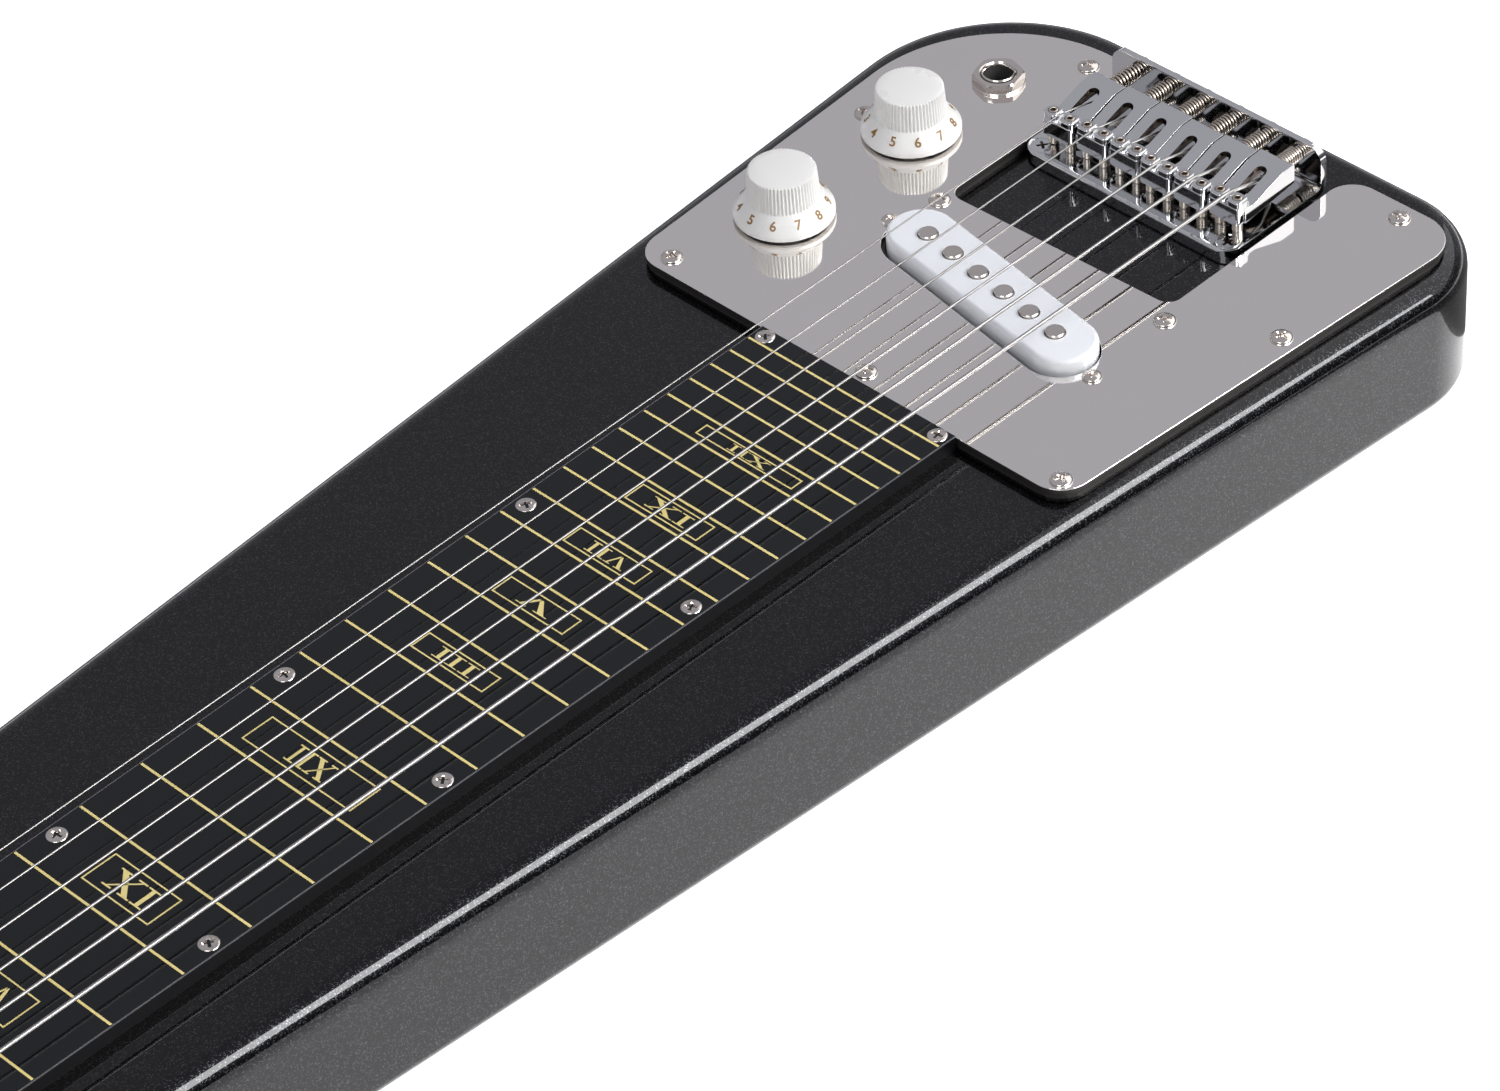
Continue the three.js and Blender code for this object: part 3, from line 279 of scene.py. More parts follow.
def level(radius: Shape, z: float, angles: Sequence[float]) -> list[Vector]:
    """Returns a level row of points about Z, given its radius at each angle."""
    return [Vector((*polar(radius(a), a), z)) for a in angles]


def steady(value: float) -> Shape:
    """Returns a shape with one value everywhere."""
    return lambda _: value


def obround(length: float, width: float, degrees: float = 5.0) -> list[Vector]:
    """Returns the outline of a long shape with round ends, centred and lying along Y."""
    half, r = length / 2, width / 2
    signs = ((1, -1), (1, 1), (-1, 1), (-1, -1))
    return rounded([Corner(across * r, along * half, r) for across, along in signs], degrees)


def placed(points: Sequence[Vector], angle: float, x: float, y: float) -> list[Vector]:
    """Returns an outline turned about its origin and then moved."""
    turn = Matrix.Rotation(angle, 2)
    return [turn @ p + Vector((x, y)) for p in points]


def inward(points: Sequence[Vector]) -> list[Vector]:
    """Returns at each point the mitred step that moves both neighbouring edges in by one."""
    steps = []
    count = len(points)
    for index, here in enumerate(points):
        first = (here - points[index - 1]).normalized()
        second = (points[(index + 1) % count] - here).normalized()
        left = Vector((-first.y, first.x))
        right = Vector((-second.y, second.x))
        steps.append((left + right) / max(0.2, 1 + left.dot(right)))
    return steps


def turning(points: Sequence[Vector], counter_clockwise: bool) -> list[Vector]:
    """Returns an outline in the asked direction, without doubled points."""
    clean = [p for k, p in enumerate(points) if (p - points[k - 1]).length > 1e-4]
    area = sum(clean[k - 1].x * p.y - p.x * clean[k - 1].y for k, p in enumerate(clean))
    return clean if (area > 0) == counter_clockwise else clean[::-1]


def square_edge(z0: float, z1: float) -> Edge:
    """Returns the edge profile of a slab with sharp edges."""
    return [(0.0, z0), (0.0, z1)]


def soft_edge(z0: float, z1: float, top: float, bottom: float = 0.0, steps: int = 3) -> Edge:
    """Draws a slab's edge profile with rounded rims and a flat wall between them.

    Args:
        z0: Height of the lower face.
        z1: Height of the upper face.
        top: Radius of the upper rim.
        bottom: Radius of the lower rim.
        steps: Flats in each rim.

    Returns:
        Pairs of inset and height, from the lower face to the upper one.
    """
    profile: list[Point2] = []
    wall = z1 - z0 - top - bottom
    hold = 0.08 * wall
    quarter = [math.pi / 2 * k / steps for k in range(steps + 1)]
    if bottom > 0:
        profile += [(bottom * (1 - math.sin(a)), z0 + bottom * (1 - math.cos(a))) for a in quarter]
        if wall > 0.1:
            profile.append((0.0, z0 + bottom + hold))
    else:
        profile.append((0.0, z0))
    if top > 0:
        if wall > 0.1:
            profile.append((0.0, z1 - top - hold))
        profile += [(top * (1 - math.cos(a)), z1 - top * (1 - math.sin(a))) for a in quarter]
    else:
        profile.append((0.0, z1))
    return profile


# Solids


class Solid:
    """A closed mesh under construction, in instrument millimetres."""

    def __init__(self) -> None:
        """Starts with nothing in it."""
        self.bm = bmesh.new()

    def _ring(self, points: Sequence[Vector]) -> list[Vertex]:
        """Adds one ring of vertices and returns it."""
        return [self.bm.verts.new(p) for p in points]

    def _strip(self, low: Sequence[Vertex], high: Sequence[Vertex]) -> None:
        """Joins two rings, or a ring and a single pole."""
        count = max(len(low), len(high))
        for i in range(count):
            j = (i + 1) % count
            if len(low) == 1:
                corners = (low[0], high[j], high[i])
            elif len(high) == 1:
                corners = (low[i], low[j], high[0])
            else:
                corners = (low[i], low[j], high[j], high[i])
            self.bm.faces.new(corners).smooth = True

    def _cap(self, rings: Sequence[Sequence[Vertex]], up: bool) -> None:
        """Closes the end of a slab across its outline and holes."""
        flat = [v for ring in rings for v in ring]
        for triangle in tessellate_polygon([[v.co.copy() for v in ring] for ring in rings]):
            a, b, c = (flat[i] for i in triangle)
            cross = (b.co.x - a.co.x) * (c.co.y - a.co.y) - (c.co.x - a.co.x) * (b.co.y - a.co.y)
            if abs(cross) < 1e-9:
                continue
            corners = (a, b, c) if (cross > 0) == up else (a, c, b)
            self.bm.faces.new(corners)

    def _place(self, first: int, matrix: Matrix) -> "Solid":
        """Moves the vertices added since a count to their place."""
        self.bm.verts.ensure_lookup_table()
        bmesh.ops.transform(self.bm, matrix=matrix, verts=self.bm.verts[first:])
        return self

    def slab(
        self,
        outer: Sequence[Vector],
        edge: Edge,
        holes: Sequence[Sequence[Vector]] = (),
        matrix: Matrix = UPRIGHT,
    ) -> "Solid":
        """Adds a slab with an outline, holes and an edge profile.

        Args:
            outer: The outline.
            edge: Pairs of inset and height, from the lower face to the upper one.
            holes: Outlines of the holes through it.
            matrix: Where the slab is put.

        Returns:
            This solid, for the next call.
        """
        first = len(self.bm.verts)
        ends: list[tuple[list, list]] = []
        for index, loop in enumerate([outer, *holes]):
            points = turning(loop, index == 0)
            steps = inward(points)
            rings = [
                self._ring([Vector((*(p + s * inset), z)) for p, s in zip(points, steps)])
                for inset, z in edge
            ]
            for low, high in zip(rings, rings[1:]):
                self._strip(low, high)
            ends.append((rings[0], rings[-1]))
        self._cap([low for low, _ in ends], up=False)
        self._cap([high for _, high in ends], up=True)
        return self._place(first, matrix)

    def rings(self, rows: Sequence[Row], matrix: Matrix = UPRIGHT, hoop: bool = False) -> "Solid":
        """Adds a solid skinned over rows of points.

        Args:
            rows: The rows in order; a row of one point is a pole.
            matrix: Where the solid is put.
            hoop: Whether the last row joins the first one, round a hole.

        Returns:
            This solid, for the next call.
        """
        first = len(self.bm.verts)
        made = [self._ring(row) for row in rows]
        for low, high in zip(made, made[1:]):
            self._strip(low, high)
        if hoop:
            self._strip(made[-1], made[0])
            return self._place(first, matrix)
        for ring, up in ((made[0], False), (made[-1], True)):
            if len(ring) > 1:
                self.bm.faces.new(ring if up else ring[::-1])
        return self._place(first, matrix)

    def turned(self, profile: Sequence[Point2], matrix: Matrix = UPRIGHT, sides: int = 32) -> "Solid":
        """Adds a round solid.

        Args:
            profile: Pairs of radius and height, along the outside from the lower end to the upper one.
            matrix: Where the solid's axis is put; it is drawn about Z.
            sides: Flats round it.

        Returns:
            This solid, for the next call.
        """
        rows = []
        for radius, z in profile:
            if radius <= 0:
                rows.append([Vector((0, 0, z))])
            else:
                rows.append([Vector((*p, z)) for p in circle(0, 0, radius, sides)])
        return self.rings(rows, matrix)

    def tube(self, path: Sequence[Vector], radius: float, sides: int = 10) -> "Solid":
        """Adds a round wire along a path, with closed ends."""
        normal = Vector((0, 0, 1))
        rows: list[list[Vector]] = []
        for index, here in enumerate(path):
            back = here - path[index - 1] if index else path[1] - here
            ahead = path[index + 1] - here if index + 1 < len(path) else back
            tangent = (back.normalized() + ahead.normalized()).normalized()
            normal = (normal - tangent * normal.dot(tangent)).normalized()
            across = tangent.cross(normal)
            rows.append([here + (normal * math.cos(a) + across * math.sin(a)) * radius for a in turns(sides)])
        return self.rings([[path[0]], *rows, [path[-1]]])

    def object(self, name: str, sharp_degrees: float = SHARP_DEGREES) -> Object:
        """Ends the drawing.

        Args:
            name: The object's name.
            sharp_degrees: Edges that turn more than this stay sharp.

        Returns:
            An object in instrument millimetres, linked to the scene.
        """
        bmesh.ops.recalc_face_normals(self.bm, faces=self.bm.faces[:])
        mesh = bpy.data.meshes.new(name)
        self.bm.to_mesh(mesh)
        soft = [face.smooth for face in self.bm.faces]
        self.bm.free()
        mesh.set_sharp_from_angle(angle=math.radians(sharp_degrees))
        mesh.polygons.foreach_set("use_smooth", soft)
        return linked(name, mesh)


def bake(target: Object) -> Object:
    """Turns an object's modifiers into its mesh and returns the object."""
    graph = bpy.context.evaluated_depsgraph_get()
    mesh = bpy.data.meshes.new_from_object(
        target.evaluated_get(graph), preserve_all_data_layers=True, depsgraph=graph
    )
    old = target.data
    target.modifiers.clear()
    target.data = mesh
    mesh.name = target.name
    bpy.data.meshes.remove(old)
    return target


def line_faces(target: Object, finish: Material, inside: Callable[[Vector], bool]) -> None:
    """Gives the faces that a test picks by their centre a second finish."""
    if len(target.data.materials) < 2:
        target.data.materials.clear()
        target.data.materials.append(None)
        target.data.materials.append(finish)
    for face in target.data.polygons:
        if inside(face.center):
            face.material_index = 1


def combine(
    target: Object, tool: Solid | Object, operation: str, crossing: bool = False
) -> Object:
    """Cuts or joins one solid with another, which is used up.

    Args:
        target: The solid that stays.
        tool: The solid that is cut away, or joined on.
        operation: DIFFERENCE or UNION.
        crossing: Whether parts of the tool cross each other.

    Returns:
        The target.
    """
    if isinstance(tool, Solid):
        tool = tool.object("tool")
    step = target.modifiers.new("combine", "BOOLEAN")
    step.operation = operation
    step.solver = "EXACT"
    step.material_mode = "TRANSFER"
    step.use_self = crossing
    step.object = tool
    bake(target)
    discard(tool)
    return target


def even_normals(target: Object, sharp_degrees: float = 35.0) -> Object:
    """Shades large faces flat up to their soft rims and returns the object."""
    target.data.shade_smooth()
    target.data.set_sharp_from_angle(angle=math.radians(sharp_degrees))
    step = target.modifiers.new("normals", "WEIGHTED_NORMAL")
    step.mode = "FACE_AREA"
    step.keep_sharp = True
    return bake(target)


def soften(target: Object, width: float, segments: int = 2) -> Object:
    """Rounds an object's sharp edges by a width and returns the object."""
    step = target.modifiers.new("rims", "BEVEL")
    step.width = width
    step.segments = segments
    step.limit_method = "ANGLE"
    step.angle_limit = math.radians(BEVEL_DEGREES)
    return even_normals(bake(target), BEVEL_DEGREES)


def settle(
    piece: Object,
    finish: Material,
    replaces: Sequence[str] = (),
    carrier: str = Carrier.INSTRUMENT.value,
    stretch: tuple[str, Vector, Vector] | None = None,
) -> Object:
    """Puts a drawn piece into the frame with its finish.

    Args:
        piece: The object, in instrument millimetres.
        finish: Its material.
        replaces: CAD nodes that it stands for.
        carrier: The CAD body that it rides on.
        stretch: For a piece between two bodies, the body at its far end and the piece's two ends; only
            whether it is given is read, and such a piece keeps its place in the frame and rides on no body.

    Returns:
        The piece.
    """
    piece.data.transform(TO_FRAME)
    if len(piece.data.materials) > 1:
        piece.data.materials[0] = finish
    else:
        piece.data.materials.clear()
        piece.data.materials.append(finish)
    piece.data.update()
    if stretch:
        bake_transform(piece)
    else:
        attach(piece, carrier)
    if replaces:
        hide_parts(*replaces)
    LOG.info("%s: %d faces on %s", piece.name, len(piece.data.polygons), carrier)
    return piece


def dress(node: str, finish: Material) -> None:
    """Gives a CAD node that stays its finish."""
    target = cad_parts[node]
    target.data.materials.clear()
    target.data.materials.append(finish)
    LOG.info("%s: CAD node with finish %s", node, finish.name)


# Finishes


class Nodes:
    """Short calls that add and join nodes in one tree."""

    def __init__(self, tree: bpy.types.NodeTree) -> None:
        """Keeps the tree that the nodes go into."""
        self.tree = tree

    def add(self, kind: str, inputs: dict[str, object] | None = None, **settings: object) -> Node:
        """Adds a node.

        Args:
            kind: The node's type name.
            inputs: Values or sockets for its inputs, by name or number.
            settings: Its own settings.

        Returns:
            The node.
        """
        node = self.tree.nodes.new(kind)
        for name, value in settings.items():
            setattr(node, name, value)
        for name, value in (inputs or {}).items():
            self.join(value, node.inputs[name])
        return node

    def join(self, value: object, socket: Socket) -> None:
        """Links a socket to an input, or sets the input's value."""
        if isinstance(value, Socket):
            self.tree.links.new(value, socket)
        else:
            socket.default_value = value

    def given(self) -> dict[str, Socket]:
        """Returns the inputs of the group that the tree is, by name."""
        return {s.name: s for s in self.add("NodeGroupInput").outputs if s.name}

    def math(self, operation: str, *values: object) -> Socket:
        """Adds a Math node and returns its result."""
        return self.add("ShaderNodeMath", dict(enumerate(values)), operation=operation).outputs[0]

    def xyz(self, *parts: object) -> Socket:
        """Adds a vector of three parts and returns it."""
        return self.add("ShaderNodeCombineXYZ", dict(enumerate(parts))).outputs[0]

    def mix(self, factor: object, first: object, second: object) -> Socket:
        """Adds a colour mix and returns its result."""
        return self.add("ShaderNodeMix", {0: factor, 6: first, 7: second}, data_type="RGBA").outputs[2]

    def ramp(self, value: Socket, *limits: object) -> Socket:
        """Adds a clamped mapping from two limits to 0 and 1, or to the other two limits given."""
        return self.add("ShaderNodeMapRange", dict(enumerate((value, *limits))), clamp=True).outputs[0]


def emptied(owner: Material | bpy.types.World) -> Nodes:
    """Empties the node tree of a material or a world and returns its node maker."""
    owner.use_nodes = True
    owner.node_tree.nodes.clear()
    return Nodes(owner.node_tree)


def new_group(name: str, inputs: dict[str, float], outputs: Sequence[str]) -> tuple[Nodes, dict[str, Socket]]:
    """Starts a shader node group of plain numbers.

    Args:
        name: The group's name.
        inputs: Its inputs and their defaults.
        outputs: The names of its outputs.

    Returns:
        The node maker of the group and the group's input sockets by name.
    """
    group = bpy.data.node_groups.new(name, "ShaderNodeTree")
    for label, value in inputs.items():
        socket = group.interface.new_socket(label, in_out="INPUT", socket_type="NodeSocketFloat")
        socket.default_value = value
    for label in outputs:
        group.interface.new_socket(label, in_out="OUTPUT", socket_type="NodeSocketFloat")
    nodes = Nodes(group)
    return nodes, nodes.given()


def flake_group() -> bpy.types.NodeTree:
    """Builds the fine metallic flake that shows as scattered lighter specks.

    Returns:
        A group with a Mask of the specks and a Height for a bump.
    """
    nodes, given = new_group("metal_flake", {"Scale": 3500.0, "Density": 0.3}, ("Mask", "Height"))
    where = nodes.add("ShaderNodeTexCoord").outputs["Object"]
    cells = nodes.add("ShaderNodeTexVoronoi", {"Vector": where, "Scale": given["Scale"]}, feature="F1")
    tint = nodes.add("ShaderNodeSeparateColor", {"Color": cells.outputs["Color"]})
    low = nodes.math("SUBTRACT", 1.0, given["Density"])
    nodes.add("NodeGroupOutput", {"Mask": nodes.ramp(tint.outputs[0], low, 1.0), "Height": tint.outputs[1]})
    return nodes.tree


def wear_group() -> bpy.types.NodeTree:
    """Builds the faint uneven handling marks of a polished surface.

    Returns:
        A group with a Haze that varies softly and a Height of fine marks.
    """
    nodes, given = new_group("handling", {"Scale": 40.0, "Fine": 900.0}, ("Haze", "Height"))
    where = nodes.add("ShaderNodeTexCoord").outputs["Object"]

    def noise(scale: str, detail: float, roughness: float) -> Socket:
        """Adds a noise of the size that one of the group's inputs gives."""
        values = {"Vector": where, "Scale": given[scale], "Detail": detail, "Roughness": roughness}
        return nodes.add("ShaderNodeTexNoise", values).outputs[0]

    haze = nodes.ramp(noise("Scale", 4.0, 0.6), 0.3, 0.75)
    nodes.add("NodeGroupOutput", {"Haze": haze, "Height": noise("Fine", 3.0, 0.7)})
    return nodes.tree


FLAKE = flake_group()
HANDLING = wear_group()


@dataclass(frozen=True)
class Finish:
    """A surface whose colour, gloss and fine relief vary slightly over it."""

    name: str
    colour: Colour
    variation: Colour
    metallic: float = 0.0
    roughness: float = 0.2
    haze: float = 0.05
    relief: float = 0.0
    relief_scale: float = 900.0
    patch_scale: float = 40.0
    coat: float = 0.0
    coat_ior: float = 1.5
    specular: float = 0.5

    def _hazed(self, nodes: Nodes, haze: Socket) -> tuple[Socket, Socket]:
        """Returns a colour and a roughness that vary with a haze."""
        colour = nodes.mix(haze, (*self.colour, 1.0), (*self.variation, 1.0))
        return colour, nodes.math("ADD", self.roughness, nodes.math("MULTIPLY", haze, self.haze))

    def _marks(self, nodes: Nodes) -> bpy.types.bpy_prop_collection:
        """Adds the handling marks and returns their outputs."""
        values = {"Scale": self.patch_scale, "Fine": self.relief_scale}
        return nodes.add("ShaderNodeGroup", values, node_tree=HANDLING).outputs

    def surface(self, nodes: Nodes) -> tuple[Socket, Socket, Socket]:
        """Returns the colour, the roughness and the height of the relief."""
        marks = self._marks(nodes)
        return *self._hazed(nodes, marks["Haze"]), marks["Height"]

    def build(self) -> Material:
        """Builds the material."""
        material = bpy.data.materials.new(self.name)
        nodes = emptied(material)
        constants = {
            "Metallic": self.metallic,
            "Coat Weight": self.coat,
            "Coat Roughness": 0.03,
            "Coat IOR": self.coat_ior,
            "Specular IOR Level": self.specular,
        }
        shader = nodes.add("ShaderNodeBsdfPrincipled", constants)
        colour, rough, height = self.surface(nodes)
        nodes.join(colour, shader.inputs["Base Color"])
        nodes.join(rough, shader.inputs["Roughness"])
        if self.relief > 0:
            values = {"Strength": self.relief, "Distance": 0.0001, "Height": height}
            nodes.join(nodes.add("ShaderNodeBump", values).outputs[0], shader.inputs["Normal"])
        nodes.add("ShaderNodeOutputMaterial", {"Surface": shader.outputs[0]})
        return material


@dataclass(frozen=True)
class FlakePaint(Finish):
    """Dark paint with a fine metallic flake under a clear coat."""

    flake_colour: Colour = (0.2, 0.2, 0.21)
    flake_scale: float = 3500.0
    density: float = 0.3

    def surface(self, nodes: Nodes) -> tuple[Socket, Socket, Socket]:
        """Returns the colour, the roughness and the height of the relief."""
        values = {"Scale": self.flake_scale, "Density": self.density}
        flake = nodes.add("ShaderNodeGroup", values, node_tree=FLAKE).outputs
        base, rough = self._hazed(nodes, self._marks(nodes)["Haze"])
        return nodes.mix(flake["Mask"], base, (*self.flake_colour, 1.0)), rough, flake["Height"]


@dataclass(frozen=True)
class WoundWire(Finish):
    """Wire wrapped round a core, with its turns running across the string's length and painted shade in the
    grooves between turns.
    """

    turn_length: float = 0.00035

    def surface(self, nodes: Nodes) -> tuple[Socket, Socket, Socket]:
        """Returns the colour, the roughness and the height of the relief."""
        where = nodes.add("ShaderNodeTexCoord").outputs["Object"]
        along = nodes.add("ShaderNodeSeparateXYZ", {"Vector": where}).outputs[0]
        wave = nodes.math("SINE", nodes.math("MULTIPLY", along, 2 * math.pi / self.turn_length))
        crown = nodes.ramp(wave, -1.0, 1.0)
        # Painted shade: the colour darkens from each turn's crown to the second, darker colour in the groove
        # between turns.
        colour = nodes.mix(crown, (*self.variation, 1.0), (*self.colour, 1.0))
        fall = nodes.math("MULTIPLY", crown, self.haze)
        return colour, nodes.math("SUBTRACT", self.roughness + self.haze, fall), crown


def plain(name: str, colour: Colour, variation: Colour, **traits: float) -> Material:
    """Builds a finish from its name, its two colours and its other traits."""
    return Finish(name, colour, variation, **traits).build()


def metal(name: str, colour: Colour, variation: Colour, **traits: float) -> Material:
    """Builds the finish of a bare metal from its name, its two colours and its other traits."""
    return Finish(name, colour, variation, metallic=1.0, **traits).build()


PAINT = FlakePaint(
    "black_flake_paint", (0.0025, 0.0025, 0.003), (0.004, 0.004, 0.005), metallic=1.0, roughness=0.3,
    haze=0.05, coat=1.0, coat_ior=1.4, relief=0.15, flake_colour=(0.065, 0.067, 0.073), density=0.22,
).build()
BOARD_BLACK = plain(
    "board_gloss_black", (0.002, 0.003, 0.004), (0.003, 0.004, 0.005), roughness=0.06, haze=0.03,
    specular=0.4,
)
BOARD_SIDE = plain("board_side", (0.004, 0.004, 0.005), (0.008, 0.008, 0.009), roughness=0.35, specular=0.12)
PRINT_GOLD = plain(
    "printed_gold", (0.80, 0.66, 0.24), (0.88, 0.74, 0.32), metallic=0.15, roughness=0.4, relief=0.1,
)
# A grey strip along each long edge of the board: a painted highlight on its rim.
EDGE_HIGHLIGHT = plain("board_edge_line", (0.13, 0.13, 0.14), (0.10, 0.10, 0.11), roughness=0.3, relief=0.1)
MIRROR = metal("mirror_plate", (0.88, 0.85, 0.825), (0.86, 0.83, 0.805), roughness=0.03, haze=0.03)
NICKEL = metal(
    "warm_nickel", (0.72, 0.675, 0.635), (0.64, 0.59, 0.55), roughness=0.12, haze=0.06, relief=0.03,
)
CHROME = metal("bridge_chrome", (0.73, 0.735, 0.745), (0.70, 0.705, 0.715), roughness=0.05, haze=0.03)
BRASSY = metal("threaded_steel", (0.66, 0.61, 0.55), (0.50, 0.44, 0.37), roughness=0.2, haze=0.1, relief=0.1)
# Dark brown put on hollows and recesses: painted shade where little light reaches.
PAINTED_SHADE_BROWN = metal(
    "hollow_metal", (0.09, 0.07, 0.056), (0.05, 0.036, 0.028), roughness=0.3, haze=0.15, relief=0.3,
)
# Dark red-brown discs at the floor of the hex sockets: painted shade in the sockets.
SOCKET_SHADE = plain(
    "socket_oxide", (0.06, 0.022, 0.018), (0.03, 0.012, 0.010), metallic=0.6, roughness=0.5, relief=0.2,
)
PLASTIC = plain("cool_white_plastic", (0.80, 0.82, 0.85), (0.78, 0.80, 0.83), roughness=0.2, haze=0.06)
DIAL_PLASTIC = plain("dial_plastic", (0.79, 0.785, 0.765), (0.77, 0.765, 0.745), roughness=0.25, haze=0.06)
DIAL_INK = plain("dial_gold", (0.28, 0.15, 0.02), (0.22, 0.11, 0.015), roughness=0.4, relief=0.1)
FIBRE = plain("coil_fibre", (0.02, 0.018, 0.018), (0.03, 0.027, 0.026), roughness=0.75, relief=0.4)
STEEL = metal("plated_steel", (0.5, 0.49, 0.47), (0.4, 0.39, 0.37), roughness=0.32, haze=0.12, relief=0.1)
BACKING = plain(
    "backing_edge", (0.12, 0.11, 0.11), (0.08, 0.075, 0.07), metallic=0.8, roughness=0.45, relief=0.1,
)
CUT_EDGE = plain(
    "plate_cut_edge", (0.05, 0.047, 0.044), (0.03, 0.028, 0.026), metallic=0.5, roughness=0.45, haze=0.1,
    relief=0.2,
)
PLAIN_WIRE = metal("plain_string", (0.34, 0.33, 0.32), (0.28, 0.27, 0.26), roughness=0.3, haze=0.05)
# The second, darker colour is painted shade in the grooves between the turns.
WOUND_WIRE = WoundWire(
    "wound_string", (0.50, 0.49, 0.48), (0.30, 0.29, 0.28), metallic=1.0, roughness=0.3, haze=0.1,
    relief=0.3,
).build()


# Screws and other small turned pieces


def cross_radius(angle: float, arm: float, reach: float) -> float:
    """Returns the distance from the middle to the wall of a cross-shaped recess."""
    turn = abs((angle + math.pi / 4) % (math.pi / 2) - math.pi / 4)
    if math.tan(turn) <= arm / reach:
        return reach / math.cos(turn)
    return arm / math.sin(turn)


def hexagon_radius(angle: float, corner: float) -> float:
    """Returns the distance from the middle to the side of a hexagon with a corner radius."""
    turn = angle % (math.pi / 3) - math.pi / 6
    return corner * math.cos(math.pi / 6) / math.cos(turn)


def recess_angles(arm: float, reach: float) -> list[float]:
    """Returns angles that meet every corner of a cross-shaped recess."""
    corner = math.atan2(arm, reach)
    quarter = [0.0, corner, (corner + math.pi / 4) / 2, math.pi / 4]
    quarter += [math.pi / 2 - a for a in quarter[2:0:-1]]
    return [a + math.pi / 2 * k for k in range(4) for a in quarter]


@dataclass(frozen=True)
class CrossScrew:
    """A screw with a domed or flat head and a cross recess, drawn upright with its seat at zero."""

    head_radius: float = 3.0
    head_height: float = 1.25
    rim: float = 0.3
    shank_radius: float = 1.5
    length: float = 9.0
    arm: float = 0.46
    reach: float = 1.8
    depth: float = 1.0
    tip_share: float = 0.8
    dome_shares: tuple[float, ...] = (1.0, 0.97, 0.9, 0.78, 0.64)
    lip: float = 1.06
    lip_sink: float = 0.06
    floor_shares: Point2 = (0.6, 0.62)
    dish: float = 0.2

    def _crown(self, radius: float) -> float:
        """Returns the dome's height at a distance from the middle."""
        share = min(1.0, radius / self.head_radius)
        return self.rim + (self.head_height - self.rim) * math.sqrt(1 - share ** 2)

    def draw(self, solid: Solid, matrix: Matrix = UPRIGHT) -> Solid:
        """Adds the screw to a solid and returns the solid."""
        angles = recess_angles(self.arm, self.reach)
        rows = [[Vector((0, 0, -self.length))]]
        for radius, z in (
            (self.shank_radius * self.tip_share, 1 - self.length), (self.shank_radius, 2 - self.length),
            (self.shank_radius, 0.0), (self.head_radius, 0.0),
        ):
            rows.append(level(steady(radius), z, angles))
        for share in self.dome_shares:
            radius = self.head_radius * share
            rows.append(level(steady(radius), self._crown(radius), angles))
        for grown, sunk in ((self.lip, 0.0), (1.0, self.lip_sink)):
            edge = [cross_radius(a, self.arm, self.reach) * grown for a in angles]
            rows.append([Vector((*polar(r, a), self._crown(r) - sunk)) for r, a in zip(edge, angles)])
        floor = self.head_height - self.depth
        arm, reach = self.arm * self.floor_shares[0], self.reach * self.floor_shares[1]
        rows.append(level(lambda a: cross_radius(a, arm, reach), floor, angles))
        rows.append([Vector((0, 0, floor - self.dish))])
        return solid.rings(rows, matrix)

    def line(self, screws: Object, places: Sequence[Vector]) -> None:
        """Paints shade into the recess of each screw of a mesh, given where their seats stand."""

        def recessed(centre: Vector) -> bool:
            for place in places:
                away = centre - place
                radius = away.xy.length
                if radius < self.reach and -self.depth - self.dish < away.z < self._crown(radius) - 0.05:
                    return True
            return False

        line_faces(screws, PAINTED_SHADE_BROWN, recessed)


@dataclass(frozen=True)
class SocketScrew:
    """A threaded screw with a hexagon socket, drawn upright with its foot at zero."""

    radius: float = 1.42
    height: float = 10.8
    thread: float = 0.5
    thread_depth: float = 0.16
    socket: float = 0.82
    socket_depth: float = 1.6
    smooth_top: float = 1.2
    sides: int = 24
    foot_share: float = 0.7
    mouth: Point2 = (0.08, 0.1)

    def draw(self, solid: Solid, matrix: Matrix = UPRIGHT) -> Solid:
        """Adds the screw to a solid and returns the solid."""
        top, hexagon = self.height, lambda a: hexagon_radius(a, self.socket)
        thread = range(int((top - self.smooth_top) / self.thread))
        crests = [(k + share) * self.thread for k in thread for share in (0.25, 0.6, 0.75)]
        profile = [(self.radius * self.foot_share, 0.0)]
        profile += [(self.radius - (0 if k % 3 else self.thread_depth), z) for k, z in enumerate(crests)]
        profile += [(self.radius, top - 0.35), (self.radius - 0.12, top - 0.1), (self.radius - 0.35, top)]
        shapes = [(steady(radius), z) for radius, z in profile]
        floor = top - self.socket_depth
        wide, deep = self.mouth
        shapes += [(lambda a: hexagon(a) + wide, top), (hexagon, top - deep), (hexagon, floor)]
        rows = [level(radius, z, turns(self.sides)) for radius, z in shapes]
        return solid.rings([[Vector()], *rows, [Vector((0, 0, floor - 0.2))]], matrix)


# Geometry Nodes trees


